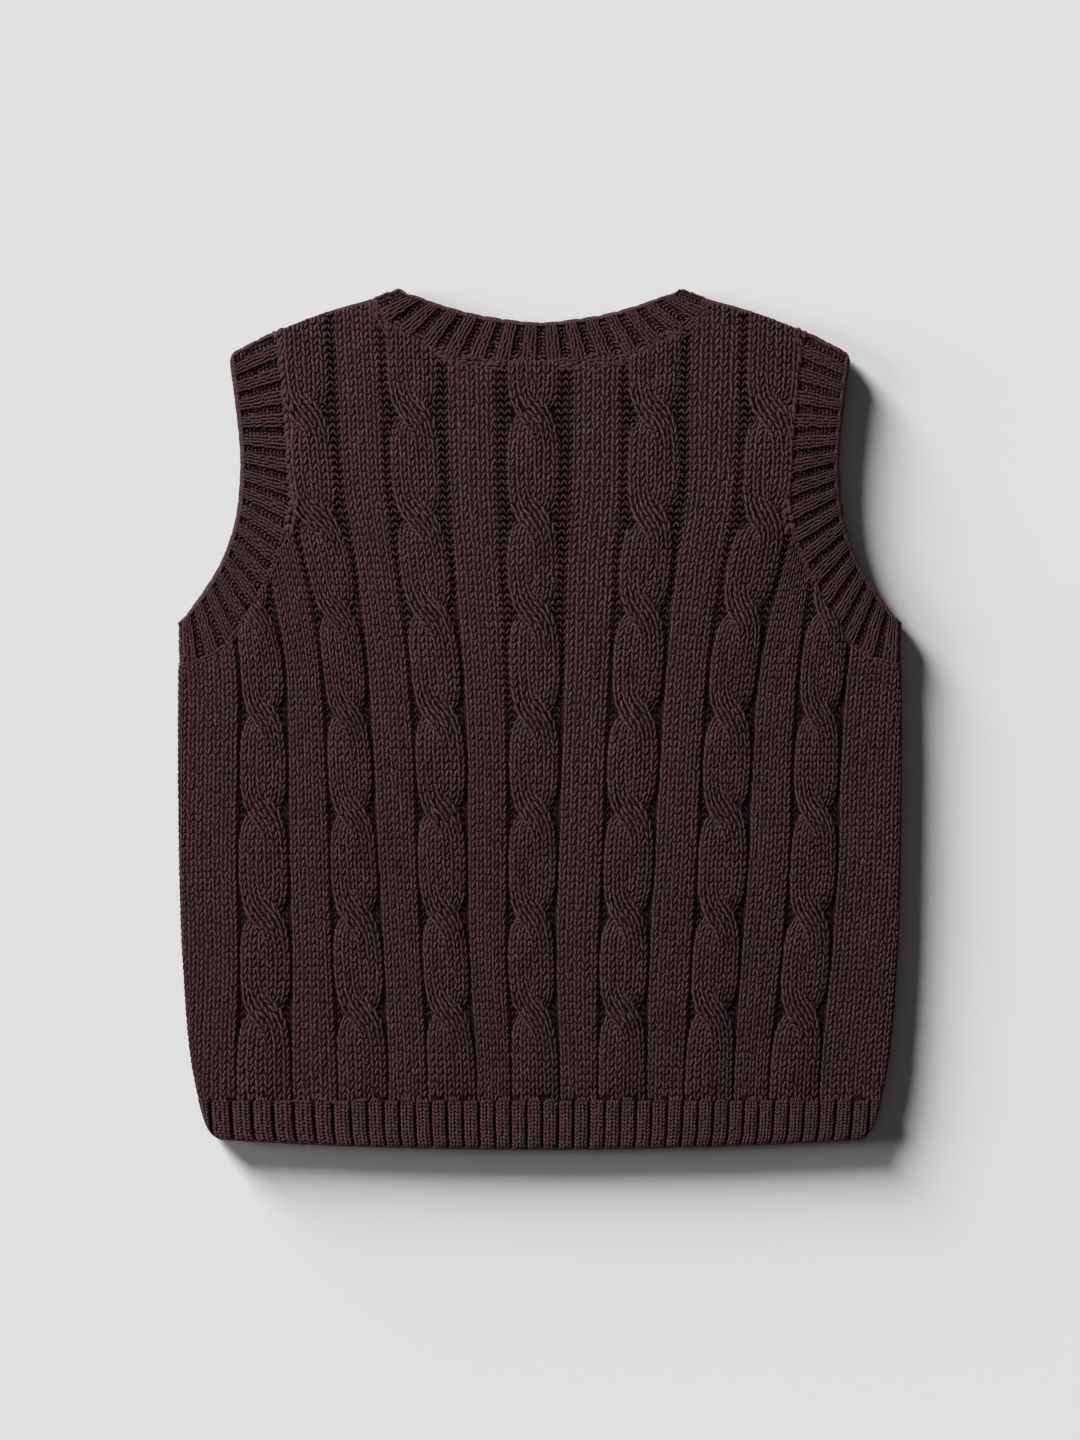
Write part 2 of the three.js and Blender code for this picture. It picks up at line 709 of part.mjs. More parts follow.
const vest = new THREE.Group();
vest.add(
  panel('back_panel', {
    columns: backColumns(),
    rows: backRows(),
    top: backTop,
    height: (thick) => BACK_FLOOR + thick,
    hemWall: (wall) => wall,
    ribbed: true,
    facesDown: false,
  }),
  panel('front_panel', {
    columns: frontColumns(),
    rows: frontRows(),
    top: frontTop,
    height: (thick) => FRONT_WALL - thick,
    hemWall: () => FRONT_WALL,
    ribbed: false,
    facesDown: true,
  }),
  neckband('neckband'),
  armholeBand('armhole_band_left', -1),
  armholeBand('armhole_band_right', 1),
);

export default vest;
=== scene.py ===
import math

import bmesh
import bpy
import numpy as np
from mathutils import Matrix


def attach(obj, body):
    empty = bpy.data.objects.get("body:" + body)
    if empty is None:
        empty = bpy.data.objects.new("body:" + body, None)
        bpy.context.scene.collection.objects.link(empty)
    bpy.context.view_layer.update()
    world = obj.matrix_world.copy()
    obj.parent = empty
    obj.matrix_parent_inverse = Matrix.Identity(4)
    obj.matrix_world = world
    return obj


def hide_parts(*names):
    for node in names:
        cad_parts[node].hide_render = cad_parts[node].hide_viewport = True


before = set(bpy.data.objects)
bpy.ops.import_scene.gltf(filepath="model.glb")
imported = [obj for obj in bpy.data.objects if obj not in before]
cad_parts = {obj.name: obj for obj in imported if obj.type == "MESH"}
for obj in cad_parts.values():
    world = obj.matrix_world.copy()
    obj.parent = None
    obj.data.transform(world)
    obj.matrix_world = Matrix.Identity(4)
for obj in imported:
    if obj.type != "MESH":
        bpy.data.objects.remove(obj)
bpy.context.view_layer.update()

# A child's cable-knit vest, laid flat on its front with its back up. Lengths here are in
# millimetres, as in the solids, and become metres where a mesh is made.
MM = 0.001
chance = np.random.default_rng(11)

# Walls and layers
BACK_FLOOR = 3.3
FRONT_FLOOR = 3.0
FOLD_MIDDLE = 3.15
PLAIN_WALL = 3.0
GUTTER_WALL = 1.0
CABLE_CROWN = 4.7
CABLE_SHOULDER = 3.7
SEAM_DROP = 1.1
SIDE_ROUND = 2.7
# How far the ground cloth lies below the tops of the stitches
GROUND = 0.95
# Bands lie this far above the cloth they are sewn to, and all yarn this far above the floor
BAND_LIFT = 0.15
FLOOR_CLEAR = 0.05

# Stitches: a wale is a column of them and a course is a row
COURSE = 2.76
SIDE_COURSE = 2.56
STRIP_WALES = 5
STRAND_WALES = 3
SIDE_WALES = 9
SIDE_WALE = 3.3
FIRST_COURSE_Y = -149.0
TOP_Y = 168.0

# Cable crossings
CROSSINGS = np.array((119.7, 79.2, 42.1, 2.3, -35.9, -76.1, -113.9))
OVER_REACH = 6.0
UNDER_REACH = 4.2
OVER_SPREAD = 0.3
LENS_SWELL = 0.09

# The ribbed hem and the bands
HEM_TOP = -148.2
HEM_COURSES = 13
HEM_DEPTH = 2.2
HEM_CROWN = 3.3
BAND_CROWN = 3.5
BAND_TROUGH = 2.4
NECK_RIBS = 14
NECK_COURSES = 10
NECK_RIDGE = 0.62
ARMHOLE_RIBS = 16
ARMHOLE_COURSES = 12
ARMHOLE_RIDGE = 0.66
FRONT_PRESS = 0.137
V_EDGE_Y = 66
V_SEAM_Y = 36

HALF_WIDTHS = {
    "y": (60, 21.6, -20, -62, -90, -124.8, -140.4, -150, -157, -161, -163.4, -164.4),
    "half": (141, 141.3, 141.45, 140.9, 139.9, 137.4, 135.1, 132.9, 130.8, 128.6, 125.6, 122),
}
ARMHOLE_SEAM = {
    "y": (151.5, 129.3, 107.8, 86, 72, 59.5, 47, 38, 30.5, 25.6, 22.6, 21.6),
    "x": (103.4, 100.8, 99.2, 98.1, 100.3, 105, 110.9, 116.8, 121.8, 128.2, 136, 141.3),
}
ARMHOLE_EDGE = {
    "y": (142.2, 128.1, 109.4, 97, 81.3, 70, 60, 50, 41.5, 37),
    "x": (121.2, 119.2, 117.1, 116.7, 118, 120.9, 125, 131.2, 137.4, 140.3),
}
SHOULDER_LINE = {"x": (66, 80, 91.7, 103.4), "y": (164.3, 160.4, 156.3, 151.5)}
NECK_SEAM = {
    "x": (0, 16, 29.3, 40.5, 51.1, 60.2, 66),
    "y": (140.3, 140.6, 141.8, 144.9, 150.4, 156.8, 164.3),
}
NECK_EDGE = {
    "x": (0, 15.6, 27.3, 39, 47, 51.8, 54.8),
    "y": (154.9, 156.5, 158.6, 161.9, 164.9, 166.2, 166.95),
}
# The valleys between the hem's ribs, by number, and where they lie a little above its edge
HEM_VALLEYS = {
    "number": (-1, 0, 6, 12, 20, 30, 37, 40, 41),
    "x": (-135.8, -128.3, -80.7, -42.5, 7, 67.5, 108.8, 128.3, 135.2),
}
HEM_MEASURED_Y = -156
CABLE_MIDDLES = {
    "y": (168, 128.7, 89.7, 60.5, 23.4, -15.6, -54.6, -93.6, -132.6, -150),
    "a": (-126, -124, -121, -116, -108.8, -108, -108, -107.1, -107.8, -107.6),
    "b": (-94.5, -92, -89.3, -82.3, -76.8, -74.3, -72.7, -71, -69.4, -69),
    "c": (-51, -49.5, -48, -45, -41.1, -38.8, -38.2, -36.9, -34.7, -34.2),
    "d": (-3, -2.7, -2.7, -2.9, -2.1, -2.3, -2.9, -3.5, -2, -1.8),
    "e": (45.5, 44.5, 44.1, 41.1, 38.4, 36.1, 34.5, 32.6, 32, 31.9),
    "f": (92, 90.7, 89.1, 83.1, 75.9, 72.9, 71.2, 68.6, 66.1, 65.6),
    "g": (126, 124, 121, 116, 110.6, 107.8, 106.7, 103.7, 99.6, 98.6),
}
CABLES = "abcdefg"
# From a cable's middle to the middle of the gutter beside it
CABLE_HALVES = {
    "y": (168, 128.7, 89.7, 60.5, 23.4, -15.6, -54.6, -93.6, -132.6, -150),
    "a": (9, 9, 9, 8.8, 8.6, 9.2, 9.7, 9.9, 10.4, 10.5),
    "b": (11.2, 11.1, 10.9, 9.4, 8.5, 8.7, 9, 9.6, 9.5, 9.4),
    "c": (11.2, 11.1, 10.8, 10.4, 9.95, 9.8, 9.4, 8.9, 9.2, 9.2),
    "d": (12.4, 12.4, 12.1, 11.3, 10.6, 9.9, 9.4, 9.1, 9, 9),
    "e": (11.5, 11.4, 11.3, 10.8, 10.2, 10, 9.6, 9.4, 9.1, 9.1),
    "f": (11.5, 11.5, 11.5, 10.8, 9.5, 9.35, 9.5, 9.2, 9.2, 9.2),
    "g": (9, 9, 9, 8.9, 8.9, 8.8, 8.95, 9.2, 9.5, 9.5),
}
# The whole width of a gutter, which is more beside the middle cable
GUTTERS = {
    "y": (168, 128.7, 89.7, 60.5, 23.4, -15.6, -54.6, -150),
    "outer": (3.9, 3.7, 3.5, 2.7, 1.9, 1.5, 1.3, 1.2),
    "middle": (5.8, 5.6, 5, 3.8, 2.5, 1.7, 1.4, 1.3),
}

# Soft troughs and ridges where the cloth doesn't lie quite flat
CREASES = (
    {"x": -124, "y": -60, "turn": 82, "long": 50, "wide": 9, "lift": -0.45},
    {"x": 124, "y": -80, "turn": 98, "long": 50, "wide": 9, "lift": -0.45},
    {"x": -112, "y": 26, "turn": 40, "long": 24, "wide": 7, "lift": 0.6},
    {"x": 114, "y": 24, "turn": -42, "long": 26, "wide": 7, "lift": 0.6},
    {"x": -84, "y": 128, "turn": 68, "long": 26, "wide": 8, "lift": -0.4},
    {"x": 86, "y": 122, "turn": -70, "long": 28, "wide": 8, "lift": -0.45},
    {"x": -20, "y": 130, "turn": 5, "long": 30, "wide": 5, "lift": 0.35},
    {"x": 24, "y": 129, "turn": -4, "long": 26, "wide": 5, "lift": 0.3},
    {"x": 10, "y": -140, "turn": 2, "long": 90, "wide": 6, "lift": 0.4},
)


def smooth(table, along, read, at):
    """A smooth value from a table: one column is read at a place in another."""
    x = np.array(table[along], float)
    y = np.array(table[read], float)
    if x[0] > x[-1]:
        x, y = x[::-1], y[::-1]
    order = np.arange(len(x))
    below = np.maximum(order - 1, 0)
    above = np.minimum(order + 1, len(x) - 1)
    slope = (y[above] - y[below]) / (x[above] - x[below])
    at = np.clip(at, x[0], x[-1])
    i = np.clip(np.searchsorted(x, at) - 1, 0, len(x) - 2)
    span = x[i + 1] - x[i]
    t = (at - x[i]) / span
    return (
        y[i] * (2 * t**3 - 3 * t**2 + 1)
        + slope[i] * span * (t**3 - 2 * t**2 + t)
        + y[i + 1] * (3 * t**2 - 2 * t**3)
        + slope[i + 1] * span * (t**3 - t**2)
    )


def mix(a, b, share):
    return a + (b - a) * share


# The outline


def body_half(y):
    return smooth(HALF_WIDTHS, "y", "half", y)


def side_limit(y):
    return np.where(y <= 21.6, body_half(y), smooth(ARMHOLE_SEAM, "y", "x", y))


def back_top(x):
    across = np.abs(x)
    neck = smooth(NECK_SEAM, "x", "y", across)
    return np.where(across < 66, neck, smooth(SHOULDER_LINE, "x", "y", across))


def front_top(x):
    across = np.abs(x)
    share = np.clip(across / 66, 0, 1)
    v_line = mix(V_SEAM_Y, 164.3, share) - 2.5 * np.sin(math.pi * share)
    return np.where(across < 66, v_line, smooth(SHOULDER_LINE, "x", "y", across))


def hem_foot(x):
    return -167.7 + 3.6 * (np.abs(x) / 122) ** 2


# Lines down a panel


def crossing_near(y):
    return CROSSINGS[np.abs(np.subtract.outer(y, CROSSINGS)).argmin(-1)]


def cable_middle(cable, y):
    return smooth(CABLE_MIDDLES, "y", CABLES[cable], y)


def gutter_half(cable, y):
    return smooth(GUTTERS, "y", "middle" if CABLES[cable] == "d" else "outer", y) / 2


def gutter_room(cable, y):
    """0 where a gutter is a mere line, and 1 where its purl stitches have room to show."""
    return np.clip((2 * gutter_half(cable, y) - 1.7) / 1.5, 0, 1)


def gutter_middle(cable, side, y):
    return cable_middle(cable, y) + side * smooth(CABLE_HALVES, "y", CABLES[cable], y)


def knit_half(cable, y):
    """Half the width of a cable's knit, which swells a little between its crossings."""
    swell = LENS_SWELL * (1 - np.exp(-(((y - crossing_near(y)) / 9) ** 2)))
    return (smooth(CABLE_HALVES, "y", CABLES[cable], y) - gutter_half(cable, y)) * (1 + swell)


def strand_lean(up, reach):
    """How far a strand lies to the left, from 1 to -1, at a height above its crossing."""
    return np.tanh(up / reach)


def over_spread(up):
    """The strand on top is wider where it crosses."""
    return 1 + OVER_SPREAD * np.exp(-((up / 6) ** 2))


def cable_edge(cable, side, y):
    """The edge of a cable's knit stitches, drawn in where the strands cross."""
    up = y - crossing_near(y)
    over = -0.5 * strand_lean(up, OVER_REACH) * side + 0.5 * over_spread(up)
    under = 0.5 * strand_lean(up, UNDER_REACH) * side + 0.5
    reach = np.clip(np.maximum(over, under), 0.55, 1)
    return cable_middle(cable, y) + side * knit_half(cable, y) * reach


def strip_edges(strip, y):
    left = gutter_middle(strip, 1, y) + gutter_half(strip, y)
    right = gutter_middle(strip + 1, -1, y) - gutter_half(strip + 1, y)
    return left, right


def side_start(side, y):
    """Where a side panel begins, beyond the gutter of the outermost cable."""
    cable = 0 if side < 0 else 6
    return gutter_middle(cable, side, y) + side * gutter_half(cable, y)


def crease_lift(x, y):
    lift = np.zeros(np.broadcast(x, y).shape)
    for row in CREASES:
        turn = math.radians(row["turn"])
        along = (x - row["x"]) * math.cos(turn) + (y - row["y"]) * math.sin(turn)
        across = (y - row["y"]) * math.cos(turn) - (x - row["x"]) * math.sin(turn)
        lift = lift + row["lift"] * np.exp(
            -((along / row["long"]) ** 2) - (across / row["wide"]) ** 2
        )
    return lift


def inside_by(x, y, top):
    """How far a point lies inside the seamed part of a panel's outline."""
    from_top = (top(x) - y) * 0.92
    from_side = np.where(y > 21.6, side_limit(y) - np.abs(x), 99)
    return np.minimum(from_top, from_side)


# The two panels differ in where their surface lies


class Panel:
    def __init__(self, name, up):
        self.name = name
        self.up = up
        self.top = back_top if up else front_top

    def height(self, x, y, wall):
        """The height of a point on the wall, which is rounded down to the seams."""
        inside = np.clip(inside_by(x, y, self.top) / 2.6, 0, 1)
        wall = wall - (1 - inside) ** 2 * SEAM_DROP
        if self.up:
            return BACK_FLOOR + wall + crease_lift(x, y)
        flat = np.minimum(wall, PLAIN_WALL)
        return FRONT_FLOOR - flat

    def covers(self, x, y):
        """Whether a leg's middle lies inside the outline: x and y hold its points."""
        x, y = x.mean(1), y.mean(1)
        hem = HEM_TOP - 0.1 + 0.8 * np.sin(x * 0.57)
        return (inside_by(x, y, self.top) > 0.1) & (y > hem)

    def within(self, x, y):
        """Points moved in to the outline where they pass it."""
        y = np.minimum(y, self.top(x) - 0.15)
        limit = side_limit(y) + 0.3
        return np.clip(x, -limit, limit), y


BACK = Panel("back", True)
FRONT = Panel("front", False)


# Walls of the parts of a panel, before the outline rounds them


def strip_wall(t):
    edge = np.clip((np.abs(t) - 0.76) / 0.24, 0, 1)
    return PLAIN_WALL - 0.55 * edge**2


def cable_wall(x, y, cable, t, up, over):
    side = (x - cable_middle(cable, y)) / knit_half(cable, y)
    near = np.exp(-((up / 8) ** 2))
    lens = mix(CABLE_CROWN, CABLE_SHOULDER, np.clip(np.abs(side), 0, 1.1) ** 2)
    edge = np.clip((np.abs(side) - 0.8) / 0.2, 0, 1.4)
    bulge = 0.8 * (np.abs(t) / 1.5) ** 2 * near
    if over:
        lift = 1.1 * np.exp(-((up / 7) ** 2))
    else:
        lift = -2.4 * np.exp(-((up / 5) ** 2))
    wall = lens - 1.3 * edge**2 - bulge + lift
    return mix(HEM_CROWN - 0.4, wall, np.clip((y - HEM_TOP) / 10, 0, 1) ** 0.7)


# A leg of a stitch is a short closed slug of yarn. Its rings run from its foot to its head.
LEG_RINGS = {
    "along": (0.0, 0.28, 0.72, 1.0),
    "half": (0.0, 1.0, 0.95, 0.0),
    "drop": (1.1, 0.0, 0.0, 0.8),
}
LEG_SIDES = 4


def leg_shape():
    """A leg's faces, and each point's share along, sideways, upward and sunk places."""
    work = bmesh.new()
    rings = len(LEG_RINGS["along"]) - 1
    bmesh.ops.create_uvsphere(work, u_segments=LEG_SIDES, v_segments=rings, radius=1)
    bmesh.ops.recalc_face_normals(work, faces=work.faces[:])
    faces = [[vert.index for vert in face.verts] for face in work.faces]
    x, y, z = np.array([vert.co for vert in work.verts]).T
    work.free()
    ring = np.rint(np.arccos(np.clip(z, -1, 1)) / math.pi * rings).astype(int)
    ring = rings - ring
    turn = np.arctan2(y, x)
    half = np.array(LEG_RINGS["half"])[ring]
    along = np.array(LEG_RINGS["along"])[ring]
    return faces, along, half * np.cos(turn), half * np.sin(turn), np.array(LEG_RINGS["drop"])[ring]


LEG_FACES, LEG_ALONG, LEG_SIDEWAYS, LEG_UPWARD, LEG_SUNK = leg_shape()
LEG_POINTS = len(LEG_ALONG)


class Stitches:
    """Legs of stitches, gathered into one mesh."""

    def __init__(self, within=None):
        self.within = within
        self.points = []
        self.yarn = []

    def add(self, place, start, end, half, thick, sink=0.0, loose=1.0, keep=None):
        """Slugs from start to end, in wales and courses, put in place by a function."""
        start = np.array(np.broadcast_arrays(*start), float)
        end = np.array(np.broadcast_arrays(*end), float)
        count = start.shape[1]
        if not count:
            return
        start = start + chance.normal(0, 0.055 * loose, start.shape)
        end = end + chance.normal(0, 0.055 * loose, end.shape)
        size = 1 + chance.normal(0, 0.09 * loose, (count, 1))
        deep = sink + np.abs(chance.normal(0, 0.07 * loose, (count, 1)))
        tone = chance.normal(0, 1, (count, 1))
        across = start[0][:, None] + (end - start)[0][:, None] * LEG_ALONG
        wide, tall = half if isinstance(half, tuple) else (half, 0)
        across = across + wide * size * LEG_SIDEWAYS
        along = start[1][:, None] + (end - start)[1][:, None] * LEG_ALONG
        along = along + tall * size * LEG_SIDEWAYS
        height = thick * size * (LEG_UPWARD - 1 - LEG_SUNK) - deep
        x, y, z = np.broadcast_arrays(*place(across, along, height))
        found = np.stack((x, y, z), -1)
        yarn = np.stack(np.broadcast_arrays(LEG_ALONG, LEG_SIDEWAYS, tone), -1)
        if keep is not None:
            kept = keep(found[:, :, 0], found[:, :, 1])
            found = found[kept]
            yarn = yarn[kept]
        if self.within is not None:
            found[:, :, 0], found[:, :, 1] = self.within(found[:, :, 0], found[:, :, 1])
        self.points.append(found)
        self.yarn.append(yarn)

    def vees(self, place, wale, course, half=0.155, keep=None, loose=1.0, long=1.0, calm=0.0):
        """Knit stitches: two legs each, drawn together at the foot unless they are calm."""
        foot = mix(0.07, 0.18, calm)
        head = mix(0.4, 0.3, calm)
        for hand in (-1, 1):
            start = (wale + hand * foot, course - 0.68 * long)
            end = (wale + hand * head, course + 0.7 * long)
            self.add(place, start, end, half, 0.62, keep=keep, loose=loose)

    def mesh(self, name, material):
        points = np.concatenate(self.points)
        yarn = np.concatenate(self.yarn)
        count = len(points)
        starts = np.arange(count) * LEG_POINTS
        faces = []
        for face in LEG_FACES:
            faces.append((np.array(face)[None, :] + starts[:, None]).tolist())
        data = bpy.data.meshes.new(name)
        data.from_pydata((points.reshape(-1, 3) * MM).tolist(), [], sum(faces, []))
        layer = data.attributes.new("yarn", "FLOAT_VECTOR", "POINT")
        layer.data.foreach_set("vector", yarn.reshape(-1).astype(np.float32))
        outward(data)
        data.polygons.foreach_set("use_smooth", np.ones(len(data.polygons), bool))
        data.materials.append(material)
        return shown(name, data)


def outward(data):
    work = bmesh.new()
    work.from_mesh(data)
    bmesh.ops.recalc_face_normals(work, faces=work.faces[:])
    work.to_mesh(data)
    work.free()


def shown(name, data):
    piece = bpy.data.objects.new(name, data)
    bpy.context.scene.collection.objects.link(piece)
    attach(piece, "root")
    return piece


def grid(wales, courses):
    """Every wale with every course, as two flat lists."""
    a, b = np.meshgrid(wales, courses, indexing="ij")
    return a.ravel(), b.ravel()


# Stitches of the panels


def course_count(pitch):
    return int((TOP_Y - FIRST_COURSE_Y) / pitch)


def course_rows(pitch):
    return np.arange(-1, course_count(pitch)) + 0.5


def uneven(wale, course):
    """Courses that wander a little, each wale in its own way."""
    own = 0.22 * np.sin(wale * 5.1 + 1.3)
    return course + own + 0.16 * np.sin(course * 0.31 + wale * 1.9)


def knit_strips(panel, bag):
    wales = np.arange(STRIP_WALES) - (STRIP_WALES - 1) / 2
    wale, course = grid(wales, course_rows(COURSE))
    for strip in range(6):

        def place(t, q, h, strip=strip):
            y = FIRST_COURSE_Y + q * COURSE
            left, right = strip_edges(strip, y)
            share = t / (STRIP_WALES / 2)
            x = (left + right) / 2 + share * (right - left) / 2
            return x, y, lay(panel, x, y, strip_wall(share), h)

        bag.vees(place, wale, uneven(wale + 7.3 * strip, course), keep=panel.covers)


def lay(panel, x, y, wall, h):
    if panel.up:
        return panel.height(x, y, wall + h)
    flat = np.minimum(wall, PLAIN_WALL)
    inside = np.clip(inside_by(x, y, panel.top) / 2.6, 0, 1)
    return np.maximum(FRONT_FLOOR - flat - h + (1 - inside) ** 2 * SEAM_DROP, 0.05)


def knit_cables(panel, bag):
    wales = np.arange(STRAND_WALES) - 1
    wale, course = grid(wales, course_rows(COURSE))
    centre_y = FIRST_COURSE_Y + course * COURSE
    near = crossing_near(centre_y)
    for cable in range(7):
        for over in (True, False):
            reach = OVER_REACH if over else UNDER_REACH
            hand = -0.5 if over else 0.5
            turn = 1.0 if over else 0.25

            def place(t, q, h, cable=cable, over=over, reach=reach, hand=hand, turn=turn):
                y = FIRST_COURSE_Y + q * COURSE
                up = y - near[:, None]
                knit = knit_half(cable, y)
                lean = strand_lean(up, reach)
                slope = hand * knit * (1 - lean**2) / reach * turn
                norm = np.sqrt(1 + slope**2)
                wide = knit / STRAND_WALES * (over_spread(up) if over else 1)
                x = cable_middle(cable, y) + hand * knit * lean + t * wide / norm
                y = y - t * wide * slope / norm
                wall = cable_wall(x, y, cable, t, up, over)
                return x, y, lay(panel, x, y, wall, h)

            crossing = np.exp(-(((centre_y - near) / 7) ** 2)) * over
            rows = uneven(wale + 4.7 * cable, course)
            long = 1 + 0.15 * crossing
            half = 0.14 if over else 0.165
            bag.vees(place, wale, rows, half, keep=panel.covers, long=long, calm=0.6 * crossing)


def knit_sides(panel, bag):
    wales = np.arange(SIDE_WALES) + 0.5
    wale, course = grid(wales, course_rows(SIDE_COURSE))
    for side in (-1, 1):

        def place(t, q, h, side=side):
            y = FIRST_COURSE_Y + q * SIDE_COURSE
            start = np.abs(side_start(side, y))
            half = np.where(y > 21.6, 141.3, body_half(y))
            level = half - SIDE_ROUND - start
            arc = math.pi / 2 * SIDE_ROUND * 1.06
            run = t * SIDE_WALE
            bend = np.clip((run - level) / arc, 0, 1.0) * math.pi / 2
            flat = np.minimum(run, level)
            x = side * (start + flat + (SIDE_ROUND + h) * np.sin(bend))
            x = np.where(run > level + arc + 1.2, np.nan, x)
            fall = (PLAIN_WALL + h) * (1 - np.cos(bend))
            return x, y, lay(panel, x, y, PLAIN_WALL - fall, h)

        bag.vees(place, wale, uneven(wale * side, course), keep=panel.covers)


def gutter_edges(cable, side, y):
    """A gutter's two sides: the cable's edge and the edge of the strip or side panel."""
    strip = cable if side > 0 else cable - 1
    if strip in range(6):
        outer = strip_edges(strip, y)[0 if side > 0 else 1]
    else:
        outer = side_start(side, y)
    return cable_edge(cable, side, y), outer


def purl_gutters(panel, bag):
    """Low, slanting bumps in zigzag rows between a strip and a cable."""
    step = 1.45
    column, course = grid(np.arange(5), np.arange(course_count(COURSE)) + 0.5)
    for cable in range(7):
        for side in (-1, 1):

            def place(t, q, h, cable=cable, side=side):
                y = FIRST_COURSE_Y + q * COURSE
                outer = gutter_edges(cable, side, y)[1]
                x = outer - side * (t * step - 0.4)
                wall = GUTTER_WALL + 2.2 * gutter_room(cable, y)
                return x, y, lay(panel, x, y, wall, h)

            def shows(x, y, cable=cable, side=side):
                inner = gutter_edges(cable, side, y)[0]
                return panel.covers(x, y) & (((x - inner) * side).mean(1) > -0.5)

            slant = np.where(column % 2 > 0, 0.45, -0.45)
            start = (column - 0.1, course - slant)
            end = (column + 1.1, course + slant)
            bag.add(place, start, end, (0.0, 0.17), 0.6, keep=shows, loose=1.0)


def hem_place(number, down):
    """A point on the hem by its number, counted in ribs, and its share of the way down."""
    x = smooth(HEM_VALLEYS, "number", "x", number)
    foot = hem_foot(x)
    y = mix(HEM_TOP, foot, down)
    half = body_half(y)
    drawn = mix(1, half / body_half(HEM_MEASURED_Y), 0.2)
    return np.clip(x * drawn, -half, half), y


def hem_wall(number, x, y, down):
    """The ribs' wall: valleys between them, rounded at the cast-on edge and at the sides."""
    across = np.abs(np.mod(number, 1) - 0.5) * 2
    valley = np.clip((across - 0.45) / 0.55, 0, 1) ** 2
    begins = 0.03 + 0.05 * np.sin(np.rint(number) * 2.9)
    deep = HEM_DEPTH * np.clip((down - begins) / 0.1, 0, 1) * np.clip((1 - down) / 0.08, 0, 1)
    end = np.clip((down - 0.87) / 0.13, 0, 1.3)
    wall = HEM_CROWN - deep * valley - 2.3 * end**2
    wall = wall + 0.2 * np.clip(1 - down / 0.1, 0, 1)
    inward = np.clip((body_half(y) - np.abs(x)) / SIDE_ROUND, 0, 1)
    return mix(0.2, wall, np.sqrt(1 - (1 - inward) ** 2))


def knit_hem(panel, bag):
    first = int(HEM_VALLEYS["number"][0])
    last = int(HEM_VALLEYS["number"][-1])
    rib, course = grid(np.arange(first, last), np.arange(HEM_COURSES + 1) + 0.5)

    def place(t, q, h):
        down = np.minimum(q / HEM_COURSES, 1.0)
        middle = np.floor(t) + 0.5
        t = middle + (t - middle) * (1 - 0.45 * np.clip(1 - down / 0.1, 0, 1) ** 2)
        x, y = hem_place(t, down)
        return x, y, lay(panel, x, y, hem_wall(t, x, y, np.clip(down, 0, 1.04)), h)

    course = course - 0.1 + 0.6 * np.sin(rib * 2.3)
    for wale in (0.27, 0.73):
        for hand in (-1, 1):
            start = (rib + wale + hand * 0.055, course + 0.7)
            end = (rib + wale + hand * 0.165, course - 0.75)
            bag.add(place, start, end, 0.1, 0.5, loose=0.45)
    cast_on = np.arange(first + 0.1, last, 0.28)
    row = np.full(len(cast_on), HEM_COURSES - 0.35)
    bag.add(place, (cast_on - 0.2, row), (cast_on + 0.2, row + 0.1), (0.02, 0.34), 0.5, loose=0.3)


def hem_ground(panel, material):
    first = HEM_VALLEYS["number"][0]
    last = HEM_VALLEYS["number"][-1]
    across = (last - first) * 6
    shares = np.array((0, 0.06, 0.14, 0.5, 0.86, 0.93, 0.97, 1.0))

    def at(u, v):
        number = mix(first, last, u)
        down = shares[np.rint((1 - v) * (len(shares) - 1)).astype(int)]
        x, y = hem_place(number, down)
        wall = hem_wall(number, x, y, down) - GROUND
        # The hem's valleys are painted in shade: lit is 1 on the ribs and 0 between them.
        lit = (np.abs(rib_share(number)) < 0.7) * 1.0
        return x, y, lay(panel, x, y, np.clip(wall, 0.25, None), 0), lit, False

    floor = BACK_FLOOR if panel.up else FRONT_FLOOR
    return cloth(f"{panel.name}_hem_ground", across, len(shares) - 1, at, material, floor)


# A band is a ring round an opening: over the back, round a fold, over the front and back


class Ring:
    def __init__(self, runs):
        """runs holds lists of seam point, edge point and outward direction."""
        rows = [row for run in runs for row in run]
        rows.append(rows[0])
        self.seam = np.array([r[0] for r in rows])
        self.edge = np.array([r[1] for r in rows])
        self.out = np.array([r[2] for r in rows])
        middle = (self.seam + self.edge) / 2
        middle = np.column_stack((middle, np.full(len(middle), FOLD_MIDDLE))) + self.out * 2
        steps = np.linalg.norm(np.diff(middle, axis=0), axis=1)
        self.at = np.concatenate(((0,), np.cumsum(steps)))
        self.length = self.at[-1]
        self.ends = [0]
        for run in runs:
            self.ends.append(self.ends[-1] + len(run))
        self.ends = [self.at[min(e, len(self.at) - 1)] for e in self.ends]

    def place(self, p, w, r):
        """p runs round the ring, w from its seam to its edge, and r is the height."""
        p = np.mod(p, self.length)
        read = lambda rows, k: np.interp(p, self.at, rows[:, k])
        out = [read(self.out, k) for k in range(3)]
        size = np.sqrt(out[0] ** 2 + out[1] ** 2 + out[2] ** 2)
        r = r * (1 - FRONT_PRESS * np.clip(-out[2], 0, 1))
        x = mix(read(self.seam, 0), read(self.edge, 0), w) + out[0] / size * r
        y = mix(read(self.seam, 1), read(self.edge, 1), w) + out[1] / size * r
        return x, y, FOLD_MIDDLE + out[2] / size * r


